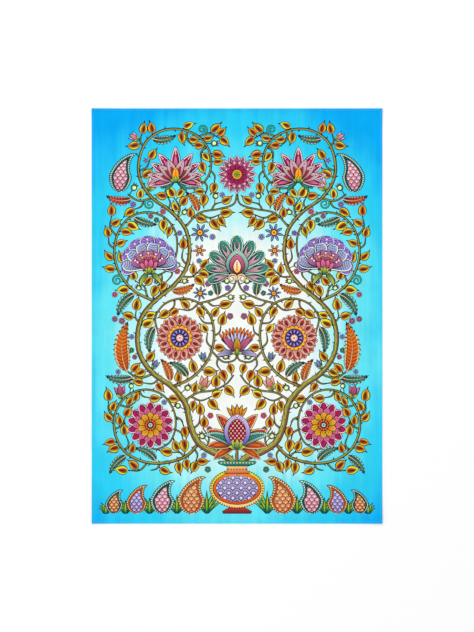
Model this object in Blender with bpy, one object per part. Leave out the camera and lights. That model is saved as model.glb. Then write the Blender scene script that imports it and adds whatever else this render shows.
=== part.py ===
"""Kalamkari panel: one cotton cloth, 28 by 40 inches, that lies flat and face up.

The cloth is turned under and hemmed all round, so its rim is thicker than its field,
and thickest in the corners where two hems cross. Metres, +Z up, the origin under the
middle of the cloth on the surface it lies on, and the design's upper edge towards +Y.
"""

import bmesh
import bpy

INCH = 0.0254
WIDTH = 28 * INCH
LENGTH = 40 * INCH
CLOTH_THICKNESS = 0.0010
# What one turned hem adds to the cloth's thickness
HEM_RISE = 0.0007
# Section of the hem, from the cloth's edge inwards: distance from the edge, share of HEM_RISE
HEM_SECTION = (
    {"inset": 0.0000, "share": 0.15},
    {"inset": 0.0004, "share": 0.75},
    {"inset": 0.0011, "share": 1.00},
    {"inset": 0.0060, "share": 1.00},
    {"inset": 0.0068, "share": 0.70},
    {"inset": 0.0076, "share": 0.00},
)
GROUND_BLUE = (0.045, 0.520, 0.850, 1.0)
CLOTH_ROUGHNESS = 0.88


def clear_scene():
    """Removes every object that the file opened with."""
    for item in list(bpy.data.objects):
        bpy.data.objects.remove(item, do_unlink=True)


def dyed_cotton():
    """The cloth's material: matte cotton in the ground's sky blue."""
    material = bpy.data.materials.new("dyed_cotton")
    material.use_nodes = True
    shader = material.node_tree.nodes["Principled BSDF"]
    shader.inputs["Base Color"].default_value = GROUND_BLUE
    shader.inputs["Roughness"].default_value = CLOTH_ROUGHNESS
    shader.inputs["Metallic"].default_value = 0.0
    return material


def stations(extent):
    """Places across the cloth, as (place, share of HEM_RISE), from one edge to the other."""
    low = [(-extent / 2 + row["inset"], row["share"]) for row in HEM_SECTION]
    high = [(-place, share) for place, share in reversed(low)]
    return low + high


def rim_loop(columns, rows):
    """Grid places round the edge of the cloth, in order, without a repeat."""
    front = [(i, 0) for i in range(columns - 1)]
    right = [(columns - 1, j) for j in range(rows - 1)]
    back = [(i, rows - 1) for i in range(columns - 1, 0, -1)]
    left = [(0, j) for j in range(rows - 1, 0, -1)]
    return front + right + back + left


def hemmed_cloth():
    """The whole cloth as one closed mesh: a flat underside, and a face raised at the hems."""
    across, along = stations(WIDTH), stations(LENGTH)
    mesh = bmesh.new()
    face_points = {}
    for i, (x, share_x) in enumerate(across):
        for j, (y, share_y) in enumerate(along):
            height = CLOTH_THICKNESS + HEM_RISE * (share_x + share_y)
            face_points[i, j] = mesh.verts.new((x, y, height))
    for i in range(len(across) - 1):
        for j in range(len(along) - 1):
            corners = ((i, j), (i + 1, j), (i + 1, j + 1), (i, j + 1))
            mesh.faces.new([face_points[c] for c in corners])
    rim = rim_loop(len(across), len(along))
    base = {c: mesh.verts.new((*face_points[c].co.xy, 0.0)) for c in rim}
    for here, after in zip(rim, rim[1:] + rim[:1]):
        mesh.faces.new((base[here], base[after], face_points[after], face_points[here]))
    mesh.faces.new([base[c] for c in reversed(rim)])
    bmesh.ops.recalc_face_normals(mesh, faces=mesh.faces)
    data = bpy.data.meshes.new("panel")
    mesh.to_mesh(data)
    mesh.free()
    return data


def build():
    """Makes the panel as the file's only object."""
    clear_scene()
    panel = bpy.data.objects.new("panel", hemmed_cloth())
    panel.data.materials.append(dyed_cotton())
    bpy.context.scene.collection.objects.link(panel)


build()
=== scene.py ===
"""Looks of the kalamkari panel: one hemmed cotton cloth, painted and dyed, lying face up.

The painting is a traditional flowering scroll, mirrored about the upright middle line.
Two vines rise from a vase and coil round big flowers, over a row of paisleys. It is laid
out on a full-size cartoon in millimetres, x across and y up from the middle of the cloth.
The cartoon becomes the cloth's own faces, so each dyed shape has its own edge in the mesh,
and the fine hatching of the pen is drawn by the material.
"""

from __future__ import annotations

import logging
import math
from collections.abc import Callable, Iterable, Sequence
from dataclasses import dataclass, replace
from enum import Enum

import bpy
import numpy as np
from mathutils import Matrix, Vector
from mathutils.geometry import delaunay_2d_cdt
from numpy.typing import NDArray

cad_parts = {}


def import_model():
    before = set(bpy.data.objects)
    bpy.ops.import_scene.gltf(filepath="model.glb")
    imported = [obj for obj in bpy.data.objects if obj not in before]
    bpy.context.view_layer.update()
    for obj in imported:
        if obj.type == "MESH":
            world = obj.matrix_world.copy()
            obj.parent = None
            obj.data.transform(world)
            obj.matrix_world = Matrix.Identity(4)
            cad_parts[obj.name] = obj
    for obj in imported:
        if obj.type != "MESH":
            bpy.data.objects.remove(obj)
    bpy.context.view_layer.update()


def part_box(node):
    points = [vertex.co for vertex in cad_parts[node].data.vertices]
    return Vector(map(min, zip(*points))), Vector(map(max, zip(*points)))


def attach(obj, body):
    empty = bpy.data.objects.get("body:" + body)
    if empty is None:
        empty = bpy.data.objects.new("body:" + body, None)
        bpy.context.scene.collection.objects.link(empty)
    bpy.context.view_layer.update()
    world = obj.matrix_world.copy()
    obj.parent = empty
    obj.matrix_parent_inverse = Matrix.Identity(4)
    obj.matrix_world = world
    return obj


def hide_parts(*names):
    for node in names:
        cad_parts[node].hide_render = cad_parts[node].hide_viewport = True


Points = NDArray[np.float64]
Colour = NDArray[np.float64]
Circle = tuple[float, float, float]
Rows = Sequence[Sequence[float]]

LOG = logging.getLogger("kalamkari_panel")
MM = 0.001
PANEL_NODE = "panel"
BODY = "root"


class Dye(Enum):
    """The painter's colours, as sRGB numbers from 0 to 255."""

    INK = (14, 26, 34)
    INK_BROWN = (70, 32, 24)
    LEAF_GOLD = (248, 228, 54)
    LEAF_LIME = (218, 212, 50)
    LEAF_AMBER = (184, 142, 36)
    LEAF_BROWN = (188, 98, 40)
    LEAF_UMBER = (74, 32, 16)
    STEM_OLIVE = (168, 168, 72)
    STEM_BARK = (122, 86, 60)
    BERRY_PALE = (234, 246, 172)
    BERRY_GREEN = (108, 168, 84)
    PINK_PALE = (252, 214, 224)
    PINK = (236, 120, 162)
    MAGENTA = (196, 34, 98)
    WINE = (112, 16, 46)
    CORAL_PALE = (252, 196, 176)
    CORAL = (238, 92, 62)
    RED = (204, 40, 36)
    ORANGE = (244, 124, 22)
    SUN = (252, 194, 44)
    LILAC_PALE = (222, 208, 246)
    LILAC = (158, 130, 214)
    VIOLET = (92, 66, 176)
    BLUE_DEEP = (38, 48, 140)
    BLUE_PALE = (164, 192, 242)
    PLUM = (98, 36, 78)
    MAUVE = (190, 118, 164)
    TEAL_PALE = (186, 232, 214)
    TEAL = (60, 158, 134)
    PINE = (18, 84, 80)
    RUST = (198, 82, 30)
    SAND = (250, 206, 140)
    GRASS_YELLOW = (214, 226, 54)
    GRASS = (74, 158, 52)
    CREAM = (252, 246, 228)

    @property
    def linear(self) -> Colour:
        """The colour as the linear numbers that a shader takes."""
        share = np.array(self.value, float) / 255
        return np.where(share <= 0.04045, share / 12.92, ((share + 0.055) / 1.055) ** 2.4)


def blended(first: Dye, second: Dye, share: float) -> Colour:
    """The linear colour that lies this share of the way from the first dye to the second."""
    return first.linear * (1 - share) + second.linear * share


class Grading(Enum):
    """How a dyed shape passes from its near colour to its far one."""

    ALONG = 0
    ROUND = 1
    RIB = 2


@dataclass(frozen=True)
class Pen:
    """Fine pen lines in one shape, which lean forward from its spine.

    The pitch and the reach are in millimetres. The lines fade out over the reach.
    """

    pitch: float = 2.4
    lean: float = 0.8
    strength: float = 0.9
    reach: float = 20.0


NO_PEN = Pen(strength=0.0)
# The pen's force on the spine before it is cut to 1, so the lines fade from 0.3 of their reach on
PEN_START = 1.3


@dataclass(frozen=True)
class Placing:
    """Where a motif sits on the cartoon: its foot, its turn in degrees, its size and its hand."""

    x: float = 0.0
    y: float = 0.0
    turn: float = 0.0
    size: float = 1.0
    flip: bool = False

    def of(self, points: Points | Rows) -> Points:
        """The cartoon places of points in the motif's own millimetres.

        Args:
            points: rows of x and y.

        Returns:
            The same rows on the cartoon.
        """
        own = np.atleast_2d(np.asarray(points, float)) * self.size
        if self.flip:
            own = own * (-1.0, 1.0)
        a = math.radians(self.turn)
        across, up = own[:, 0], own[:, 1]
        x = across * math.cos(a) - up * math.sin(a) + self.x
        y = across * math.sin(a) + up * math.cos(a) + self.y
        return np.stack([x, y], axis=1)

    def within(self, x: float, y: float, turn: float = 0.0, size: float = 1.0) -> Placing:
        """The placing of a smaller motif that sits in this one.

        Args:
            x: its foot across, in this motif's millimetres.
            y: its foot up, in this motif's millimetres.
            turn: its own turn in degrees, against the clock.
            size: its own size.

        Returns:
            The smaller motif's placing on the cartoon.
        """
        foot = self.of([(x, y)])[0]
        own_turn = -turn if self.flip else turn
        return Placing(foot[0], foot[1], self.turn + own_turn, self.size * size, self.flip)

    def circle(self, x: float, y: float, radius: float) -> Circle:
        """A circle of the motif, on the cartoon."""
        at = self.of([(x, y)])[0]
        return at[0], at[1], radius * self.size


def placed(name: str, data: bpy.types.ID) -> bpy.types.Object:
    """A new object of this data, linked to the scene.

    Args:
        name: the object's name.
        data: its mesh, curve, lamp or camera data.

    Returns:
        The object.
    """
    made = bpy.data.objects.new(name, data)
    bpy.context.scene.collection.objects.link(made)
    return made


def winding(loop: Points, at: Points) -> NDArray:
    """Whether places lie inside a closed loop, also where the loop crosses itself.

    Args:
        loop: the loop's points.
        at: the places.

    Returns:
        One truth value for each place.
    """
    x, y = at[:, :1], at[:, 1:]
    after = np.roll(loop, -1, axis=0)
    rise = after[:, 1] - loop[:, 1]
    crossed = (loop[:, 1] > y) != (after[:, 1] > y)
    edge_x = loop[:, 0] + (y - loop[:, 1]) * (after[:, 0] - loop[:, 0]) / np.where(rise == 0, 1, rise)
    return (np.where(crossed & (x < edge_x), np.sign(rise), 0).sum(axis=1)) != 0


@dataclass
class Patch:
    """One dyed shape on the cartoon, in cartoon millimetres."""

    loop: Points
    spine: Points
    near: Colour
    far: Colour
    grading: Grading = Grading.ALONG
    reach: tuple[float, float] = (0.0, 1.0)
    pen: Pen = NO_PEN
    clip: int = -1
    main: bool = True

    def on_spine(self, at: Points) -> tuple[Points, Points, float]:
        """Measures places against the spine.

        Args:
            at: the places.

        Returns:
            How far along the spine each place lies, how far to its side, and the spine's
            length.
        """
        step = np.diff(self.spine, axis=0)
        long = np.maximum(np.linalg.norm(step, axis=1), 1e-9)
        off = at[:, None] - self.spine[:-1]
        share = np.clip((off * step).sum(-1) / long**2, 0, 1)
        away = np.linalg.norm(off - share[..., None] * step, axis=-1)
        nearest = away.argmin(axis=1)
        row = np.arange(len(at))
        gone = np.concatenate([[0], np.cumsum(long)])
        along = gone[nearest] + share[row, nearest] * long[nearest]
        return along, away[row, nearest], float(gone[-1])

    def paint(self, corners: Points) -> tuple[Points, Points]:
        """The dye and the pen numbers at the corners of the shape's triangles.

        Args:
            corners: triangles by corners by x and y.

        Returns:
            Colours with cover, and pen line numbers with their strength.
        """
        at = corners.reshape(-1, 2)
        along, away, total = self.on_spine(at)
        from_foot = np.linalg.norm(at - self.spine[0], axis=1)
        span = max(self.reach[1] - self.reach[0], 1e-6)
        share = {
            Grading.ALONG: along / total,
            Grading.ROUND: (from_foot - self.reach[0]) / span,
            Grading.RIB: (away - self.reach[0]) / span,
        }[self.grading]
        share = np.clip(share, 0, 1)[:, None]
        dye = np.hstack([self.near * (1 - share) + self.far * share, np.ones_like(share)])
        number = (along - self.pen.lean * away) / self.pen.pitch
        force = self.pen.strength * np.clip(PEN_START - away / self.pen.reach, 0, 1)
        pen = np.stack([number, force, force * 0], axis=1)
        return dye.reshape(-1, 3, 4), pen.reshape(-1, 3, 3)


def against_clock(loop: Points) -> Points:
    """The loop with its points running against the clock.

    Args:
        loop: the loop's points.

    Returns:
        The same points, turned round where needed.
    """
    after = np.roll(loop, -1, axis=0)
    area = float((loop[:, 0] * after[:, 1] - after[:, 0] * loop[:, 1]).sum())
    return loop if area > 0 else loop[::-1]


def distances(line: Points) -> Points:
    """How far along a line each of its points lies."""
    return np.concatenate([[0], np.cumsum(np.linalg.norm(np.diff(line[:, :2], axis=0), axis=1))])


def polar(turn: Points | float, reach: Points | float) -> Points:
    """Places at turns in radians and at distances from the middle."""
    return np.stack([np.cos(turn) * reach, np.sin(turn) * reach], axis=-1)


def spaced_path(points: Rows, step: float) -> Points:
    """A smooth path through a table's points, with rows about one step apart.

    Args:
        points: rows of x, y and any further columns, such as a width.
        step: the distance between the rows that are returned, in millimetres.

    Returns:
        Rows with the same columns, on a Catmull-Rom curve.
    """
    given = np.asarray(points, float)
    rows = np.vstack([2 * given[0] - given[1], given, 2 * given[-1] - given[-2]])
    share = np.linspace(0, 1, 12, endpoint=False)[:, None]
    fine = []
    for a, b, c, d in zip(rows, rows[1:], rows[2:], rows[3:]):
        slope, bow, twist = c - a, 2 * a - 5 * b + 4 * c - d, d - a + 3 * (b - c)
        fine.append(0.5 * (2 * b + slope * share + bow * share**2 + twist * share**3))
    line = np.vstack([*fine, given[-1:]])
    gone = distances(line)
    at = np.linspace(0, gone[-1], max(2, round(gone[-1] / step) + 1))
    return np.stack([np.interp(at, gone, line[:, k]) for k in range(line.shape[1])], axis=1)


def headings(path: Points) -> Points:
    """The unit direction of a path at each of its points."""
    way = np.gradient(path[:, :2], axis=0)
    return way / np.maximum(np.linalg.norm(way, axis=1, keepdims=True), 1e-9)


def ribbon(path: Points, widths: Points | float, shift: float = 0.0) -> Points:
    """The outline of a stroke along a path.

    Args:
        path: the middle of the stroke.
        widths: the stroke's width at each point, or one for all.
        shift: how far the stroke lies to the right of the path, as a share of the width.

    Returns:
        The stroke's closed outline.
    """
    wide = np.broadcast_to(np.asarray(widths, float), (len(path),))[:, None]
    way = headings(path)
    right = np.stack([way[:, 1], -way[:, 0]], axis=1)
    middle = path[:, :2] + right * wide * shift
    return np.vstack([middle - right * wide / 2, (middle + right * wide / 2)[::-1]])


def ring_of(radius: float, count: int, lobes: int = 0, depth: float = 0.0) -> Points:
    """A round outline, with rounded lobes and notches of this depth where it has lobes."""
    a = np.arange(count) * 2 * math.pi / count
    return polar(a, radius * (1 - depth + depth * np.abs(np.sin(a * lobes / 2)) ** 0.7))


def coil_path(radius: float, turns: float, count: int) -> Points:
    """A curl that starts upwards at its own zero and winds up to the right.

    Args:
        radius: the curl's widest radius.
        turns: how often it winds round.
        count: how many points.

    Returns:
        The curl's points.
    """
    a = np.linspace(0, turns * 2 * math.pi, count)
    fall = np.linspace(1, 0.16, count)
    return np.stack([radius - radius * np.cos(a) * fall, radius * np.sin(a) * fall], axis=1)


def fan(count: int, spread: float) -> list[float]:
    """Turns of a fan of petals in degrees, the outermost first and the middle one last."""
    turns = np.linspace(-spread, spread, count) if count > 1 else np.zeros(1)
    return sorted(turns.tolist(), key=lambda turn: (-abs(round(turn, 3)), turn))


@dataclass(frozen=True)
class Blade:
    """A leaf, petal or sepal: a bent spine that grows along +Y, with a width along it.

    Low root and tip numbers make blunt ends, and a tip over 1 draws out to a point.
    """

    length: float
    width: float
    root: float = 0.6
    tip: float = 0.9
    bend: float = 0.0
    stations: int = 7
    teeth: int = 0
    tooth: float = 0.0

    def spine(self, share: Points | Sequence[float]) -> Points:
        """Places on the spine, at shares of its length.

        Args:
            share: shares of the length, from the foot.

        Returns:
            The places.
        """
        s = np.atleast_1d(np.asarray(share, float))
        if abs(self.bend) < 1e-4:
            return np.stack([np.zeros_like(s), self.length * s], axis=1)
        turn = self.bend * s
        return np.stack([1 - np.cos(turn), np.sin(turn)], axis=1) * self.length / self.bend

    def half(self, share: Points) -> Points:
        """Half the width at shares of the length.

        Args:
            share: shares of the length, from the foot.

        Returns:
            The half widths.
        """
        s = np.clip(share, 0, 1)
        peak = self.root / (self.root + self.tip)
        top = peak**self.root * (1 - peak) ** self.tip
        return self.width / 2 * s**self.root * (1 - s) ** self.tip / top

    def side(self, share: Points | Sequence[float], offset: Points | Sequence[float]) -> Points:
        """Places beside the spine, this far to its right at shares of its length."""
        right = polar(-self.bend * np.asarray(share, float), 1.0)
        return self.spine(share) + right * np.asarray(offset, float)[:, None]

    def sides(self, inset: float = 0.0) -> tuple[Points, Points, Points]:
        """The left side, the spine and the right side, drawn in by the inset, foot to tip.

        Args:
            inset: how far it is drawn in, in millimetres.

        Returns:
            Three rows of points, each from the foot to the tip.
        """
        dense = np.linspace(0, 1, 241)
        wide = dense[self.half(dense) > inset]
        first, last = (wide[0], wide[-1]) if inset > 0 and len(wide) > 3 else (0.0, 1.0)
        if self.teeth:
            s = first + (last - first) * np.linspace(0, 1, 2 * self.teeth + 1)
            notch = np.arange(len(s)) % 2 == 1
            half = self.half(s) * np.where(notch, 1 - self.tooth, 1.0) - inset
            s = np.clip(s + np.where(notch, 0.0, 0.55 * (s[1] - s[0])), first, last)
        else:
            even = (1 - np.cos(np.linspace(0, math.pi, self.stations + 1))) / 2
            s = first + (last - first) * even
            half = self.half(s) - inset
        half = np.maximum(half, 0.05)
        half[[0, -1]] = 0.0
        return self.side(s, -half), self.side(s, half * 0), self.side(s, half)

    def circles(self, place: Placing, rows: Rows) -> list[Circle]:
        """Circles on the spine, from shares of the length and radii as shares of the width."""
        spots = zip(self.spine([share for share, _ in rows]), rows)
        return [place.circle(x, y, part * self.width) for (x, y), (_, part) in spots]

    def loop(self, inset: float = 0.0) -> Points:
        """The whole outline, drawn in by the inset."""
        left, _, right = self.sides(inset)
        return np.vstack([left, right[1:-1][::-1]])

    def half_loop(self, inset: float = 0.0) -> Points:
        """The outline of the part right of the spine."""
        _, middle, right = self.sides(inset)
        return np.vstack([middle, right[1:-1][::-1]])


class Ground:
    """The places on the cartoon that are taken, as circles."""

    def __init__(self, limit: tuple[float, float, float, float]) -> None:
        """Starts an empty ground.

        Args:
            limit: the lowest and highest x, then the lowest and highest y, that a motif
                may reach.
        """
        self.limit = limit
        self.circles = np.empty((0, 3))

    def take(self, circles: Iterable[Circle]) -> None:
        """Marks circles of x, y and radius as taken."""
        self.circles = np.vstack([self.circles, np.array(list(circles), float).reshape(-1, 3)])

    def free(self, circles: Iterable[Circle], slack: float = 0.0) -> bool:
        """Whether none of the circles meets a taken one by more than the slack.

        Args:
            circles: circles of x, y and radius.
            slack: how far circles may overlap.

        Returns:
            Whether there is room.
        """
        asked = np.array(list(circles), float).reshape(-1, 3)
        low_x, high_x, low_y, high_y = self.limit
        x, y, reach = asked.T
        if min((x - reach).min() - low_x, high_x - (x + reach).max()) < 0:
            return False
        if min((y - reach).min() - low_y, high_y - (y + reach).max()) < 0:
            return False
        apart = np.hypot(x[:, None] - self.circles[:, 0], y[:, None] - self.circles[:, 1])
        return bool((apart > reach[:, None] + self.circles[:, 2] - slack).all())


class Cartoon:
    """The full-size drawing: dyed shapes in the order in which they are laid."""

    # How far a blade's dye sits off the middle of its ink, in shares of the ink
    ink_lean = (0.16, 0.08)

    def __init__(self) -> None:
        """Starts an empty sheet."""
        self.patches: list[Patch] = []

    @property
    def last(self) -> int:
        """The number of the shape laid last."""
        return len(self.patches) - 1

    def fill(
        self, place: Placing, loop: Points, near: Dye | Colour, far: Dye | Colour | None = None,
        spine: Points | Rows = ((0.0, 0.0), (0.0, 1.0)), grading: Grading = Grading.ALONG,
        reach: tuple[float, float] = (0.0, 1.0), pen: Pen = NO_PEN, clip: int = -1,
        main: bool = False,
    ) -> None:
        """Lays one dyed shape.

        Args:
            place: where the motif sits.
            loop: the outline in the motif's millimetres.
            near: the colour at the foot or the spine.
            far: the colour at the tip or the edge, or the near one if left out.
            spine: the line that the colour and the pen lines follow.
            grading: how the colour passes over.
            reach: the distances over which a round or rib grading passes.
            pen: the fine lines in the shape.
            clip: the number of the shape that this one stays inside, or -1.
            main: whether the shape soaks through to the back.
        """
        ends = (near, near if far is None else far)
        near, far = (end.linear if isinstance(end, Dye) else end for end in ends)
        size = place.size
        pen = replace(pen, pitch=pen.pitch * size, reach=pen.reach * size)
        reach = (reach[0] * size, reach[1] * size)
        outline = against_clock(place.of(loop))
        self.patches.append(
            Patch(outline, place.of(spine), near, far, grading, reach, pen, clip, main)
        )

    def stroke(
        self, place: Placing, path: Points | Rows, widths: Points | Sequence[float] | float,
        dye: Dye, main: bool = False,
    ) -> None:
        """Draws one line of the brush."""
        loop = ribbon(np.asarray(path, float), np.asarray(widths, float))
        self.fill(place, loop, dye, main=main)

    def dots(self, place: Placing, spots: Points | Rows, radius: float, dye: Dye) -> None:
        """Sets a dot at each of these places."""
        for x, y in spots:
            self.fill(place.within(x, y), ring_of(radius, 7 if radius > 1.4 else 5), dye)

    def disc(
        self, place: Placing, radius: float, near: Dye, far: Dye, ink: float, lobes: int = 0,
        main: bool = True,
    ) -> None:
        """Draws an inked round, its colour passing from the middle to the rim.

        Args:
            place: where the motif's own zero sits.
            radius: the outer radius.
            near: the colour in the middle.
            far: the colour at the rim.
            ink: the width of the outline.
            lobes: how many lobes, or 0 for a plain round.
            main: whether it soaks through to the back.
        """
        count = lobes * 5 if lobes else max(8, min(28, round(radius * 1.6)))
        depth = 0.13 if lobes else 0.0
        if ink > 0:
            self.fill(place, ring_of(radius, count, lobes, depth), Dye.INK, main=main)
        self.fill(place, ring_of(radius - ink, count, lobes, depth), near, far,
                  grading=Grading.ROUND, reach=(0.35 * radius, radius), main=main)

    def petal(
        self, place: Placing, blade: Blade, near: Dye, far: Dye, ink: float, pen: Pen = NO_PEN,
        main: bool = True, start: float = 0.0,
    ) -> None:
        """Draws an inked blade, in two halves where pen lines meet on its spine.

        Args:
            place: where the blade's foot sits.
            blade: its shape.
            near: the colour at the foot.
            far: the colour at the tip.
            ink: the width of the outline.
            pen: the fine lines in it.
            main: whether it soaks through to the back.
            start: how far inside the blade's own outline the ink begins.
        """
        self.fill(place, blade.loop(start), Dye.INK, main=main)
        ink += start
        spine = blade.spine(np.linspace(0.03, 0.97, 5))
        off = place.within(self.ink_lean[0] * ink, self.ink_lean[1] * ink)
        self.fill(off, blade.loop(ink), near, far, spine, pen=pen, main=main)
        if pen.strength > 0:
            self.fill(off, blade.half_loop(ink), near, far, spine, pen=pen)

    def mirror(self, first: int) -> None:
        """Repeats the shapes from this number on, on the other side of the middle line.

        Args:
            first: the number of the first shape that is repeated.
        """
        shift = len(self.patches) - first
        for patch in self.patches[first:]:
            loop, spine = (line * (-1.0, 1.0) for line in (patch.loop, patch.spine))
            clip = patch.clip + shift if patch.clip >= 0 else -1
            self.patches.append(replace(patch, loop=loop[::-1], spine=spine, clip=clip))


class Part:
    """A thing that is drawn on the cartoon at a place of its own."""

    def draw(self, cartoon: Cartoon, place: Placing) -> None:
        """Lays the part's shapes.

        Args:
            cartoon: the drawing that takes them.
            place: where the part's own zero sits.
        """
        raise NotImplementedError


@dataclass(frozen=True)
class Flame:
    """A smaller blade inside a petal, in shares of the petal."""

    length: float
    width: float
    near: Dye
    far: Dye
    start: float = 0.10
    hatch: float = 0.0


@dataclass(frozen=True)
class Dots:
    """A row of dots on each petal's spine, in shares of its length."""

    count: int
    first: float
    last: float
    radius: float
    dye: Dye


@dataclass(frozen=True)
class Petals(Part):
    """One fan or round of petals, all alike. A spread of 180 goes all round."""

    count: int
    length: float
    width: float
    near: Dye
    far: Dye
    spread: float = 180.0
    root: float = 0.8
    tip: float = 0.85
    bend: float = 0.0
    lift: float = 0.0
    shrink: float = 0.0
    offset: float = 0.0
    up: float = 0.0
    ink: float = 1.9
    flame: Flame | None = None
    dots: Dots | None = None
    hatch: float = 0.0
    lean: float = 1.0
    stations: int = 7
    band: Dye | None = None
    band_width: float = 2.2
    band_ink: float = 1.6
    soaks_from: float = 24.0

    def draw(self, cartoon: Cartoon, place: Placing) -> None:
        """Lays the petals, the outermost first.

        Args:
            cartoon: the drawing that takes the shapes.
            place: where the motif's own zero sits.
        """
        turns = fan(self.count, self.spread)
        if self.spread >= 180:
            turns = [(k + self.offset) * 360 / self.count for k in range(self.count)]
        for turn in turns:
            bend = math.copysign(self.bend, -turn) if abs(turn) > 1 and self.spread < 180 else 0.0
            size = 1.0 - self.shrink * min(abs(turn), 180) / max(self.spread, 1)
            spot = place.within(0, self.up, turn, size).within(0, self.lift)
            self.draw_one(cartoon, spot, bend)

    def draw_one(self, cartoon: Cartoon, spot: Placing, bend: float) -> None:
        """Lays one petal with its flame and dots.

        Args:
            cartoon: the drawing that takes the shapes.
            spot: where the petal's foot sits.
            bend: how far the petal bends, in radians.
        """
        blade = Blade(self.length, self.width, self.root, self.tip, bend, self.stations)
        pen = NO_PEN
        if self.hatch > 0:
            pen = Pen(self.hatch, self.lean, reach=0.55 * self.width)
        main, start = self.length > self.soaks_from, 0.0
        if self.band:
            cartoon.petal(spot, blade, self.band, self.band, self.ink, main=main)
            start = self.ink + self.band_width
        ink = self.band_ink if self.band else self.ink
        main = main and not self.band
        cartoon.petal(spot, blade, self.near, self.far, ink, pen, main=main, start=start)
        if self.flame:
            part = self.flame
            foot = blade.spine([part.start])[0]
            inner = Blade(self.length * part.length, self.width * part.width, self.root, self.tip,
                          bend * part.length, self.stations - 1)
            at = spot.within(foot[0], foot[1], -math.degrees(bend * part.start))
            pen = Pen(part.hatch, 0.6, reach=self.width) if part.hatch else NO_PEN
            cartoon.petal(at, inner, part.near, part.far, 0.85 * self.ink, pen, main=False)
        if self.dots:
            row = self.dots
            spots = blade.spine(np.linspace(row.first, row.last, row.count))
            cartoon.dots(spot, spots, row.radius, row.dye)


@dataclass(frozen=True)
class Disc(Part):
    """A round of one dye, plain or lobed."""

    radius: float
    near: Dye
    far: Dye
    lobes: int = 0
    up: float = 0.0
    side: float = 0.0
    ink: float = 1.6

    def draw(self, cartoon: Cartoon, place: Placing) -> None:
        """Lays the round."""
        spot = place.within(self.side, self.up)
        cartoon.disc(spot, self.radius, self.near, self.far, self.ink, self.lobes, self.radius > 8)


@dataclass(frozen=True)
class Beads(Part):
    """A ring of dots."""

    ring: float
    count: int
    radius: float
    dye: Dye

    def draw(self, cartoon: Cartoon, place: Placing) -> None:
        """Sets the dots."""
        cartoon.dots(place, ring_of(self.ring, self.count), self.radius, self.dye)


@dataclass(frozen=True)
class Scales(Part):
    """Rows of overlapping scales that fill the shape laid last."""

    wide: float
    tall: float
    pitch: float
    near: Dye
    far: Dye
    low: float = 0.0
    seeds: bool = False
    row_step: float = 0.62
    radius: float = 0.57
    ink: float = 1.5
    flowers_from: float = 17.0

    def draw(self, cartoon: Cartoon, place: Placing) -> None:
        """Lays the scales from the top row down.

        Args:
            cartoon: the drawing that takes the shapes.
            place: where the motif's own zero sits.
        """
        bed, step = cartoon.last, self.row_step * self.pitch
        bed_loop = cartoon.patches[bed].loop
        rows, columns = int(self.tall / step) + 1, int(self.wide / self.pitch / 2) + 1
        near_edge = ring_of(0.6 * self.pitch, 8)
        for row in range(rows, -1, -1):
            tint = blended(self.near, self.far, 0.15 + 0.65 * row / rows)
            for column in range(-columns, columns + 1):
                x = (column + 0.5 * (row % 2)) * self.pitch
                spot = place.within(x, self.low + row * step)
                if not winding(bed_loop, spot.of(near_edge)).any():
                    continue
                if self.seeds:
                    self.seed(cartoon, spot, bed)
                else:
                    self.scale(cartoon, spot, bed, tint)

    def scale(self, cartoon: Cartoon, spot: Placing, bed: int, tint: Colour) -> None:
        """Lays one scale: an inked round with an eye, and on a large one a lobed flower.

        Args:
            cartoon: the drawing that takes the shapes.
            spot: the middle of the scale.
            bed: the number of the shape that it stays inside.
            tint: its colour.
        """
        radius, eye = self.radius * self.pitch, 0.17 * self.pitch
        grand = self.pitch > self.flowers_from
        edge = tint if not grand else self.far.linear
        shade = dict(grading=Grading.ROUND, reach=(0.3 * radius, radius), clip=bed)
        cartoon.fill(spot, ring_of(radius, 12), Dye.INK, clip=bed)
        inside, rim = ring_of(radius - self.ink, 12), (edge + self.far.linear) / 2
        cartoon.fill(spot, inside, tint, rim, **shade)
        if grand:
            cartoon.fill(spot, ring_of(0.74 * radius, 36, 9, 0.2), Dye.INK, clip=bed)
            cartoon.fill(spot, ring_of(0.74 * radius - 1.2, 36, 9, 0.2), tint, tint, clip=bed)
            eye = 0.2 * self.pitch
            cartoon.fill(spot, ring_of(eye + 1.2, 9), Dye.INK, clip=bed)
        cartoon.fill(spot, ring_of(eye, 7), self.far, clip=bed)

    def seed(self, cartoon: Cartoon, spot: Placing, bed: int) -> None:
        """Lays one seed.

        Args:
            cartoon: the drawing that takes the shapes.
            spot: the foot of the seed.
            bed: the number of the shape that it stays inside.
        """
        drop = Blade(self.pitch, 0.8 * self.pitch, 0.5, 0.7, stations=4)
        cartoon.fill(spot, drop.loop(), Dye.INK, clip=bed)
        cartoon.fill(spot, drop.loop(0.8), self.near, self.far, ((0, 0), (0, self.pitch)), clip=bed)


@dataclass(frozen=True)
class Stamens(Part):
    """A fan of thin threads with a dot at each tip."""

    count: int
    spread: float
    low: float
    high: float
    thread: Dye
    knob: Dye
    up: float = 0.0

    def draw(self, cartoon: Cartoon, place: Placing) -> None:
        """Lays the threads and dots.

        Args:
            cartoon: the drawing that takes the shapes.
            place: where the motif's own zero sits.
        """
        for turn in fan(self.count, self.spread):
            spot = place.within(0, self.up, turn)
            middle = (self.low + self.high) / 2
            cartoon.stroke(spot, [(0, self.low), (0, middle), (0, self.high)], 1.2, self.thread)
            cartoon.dots(spot, [(0, self.high + 1)], 2.1, Dye.INK)
            cartoon.dots(spot, [(0, self.high + 1)], 1.5, self.knob)


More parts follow.
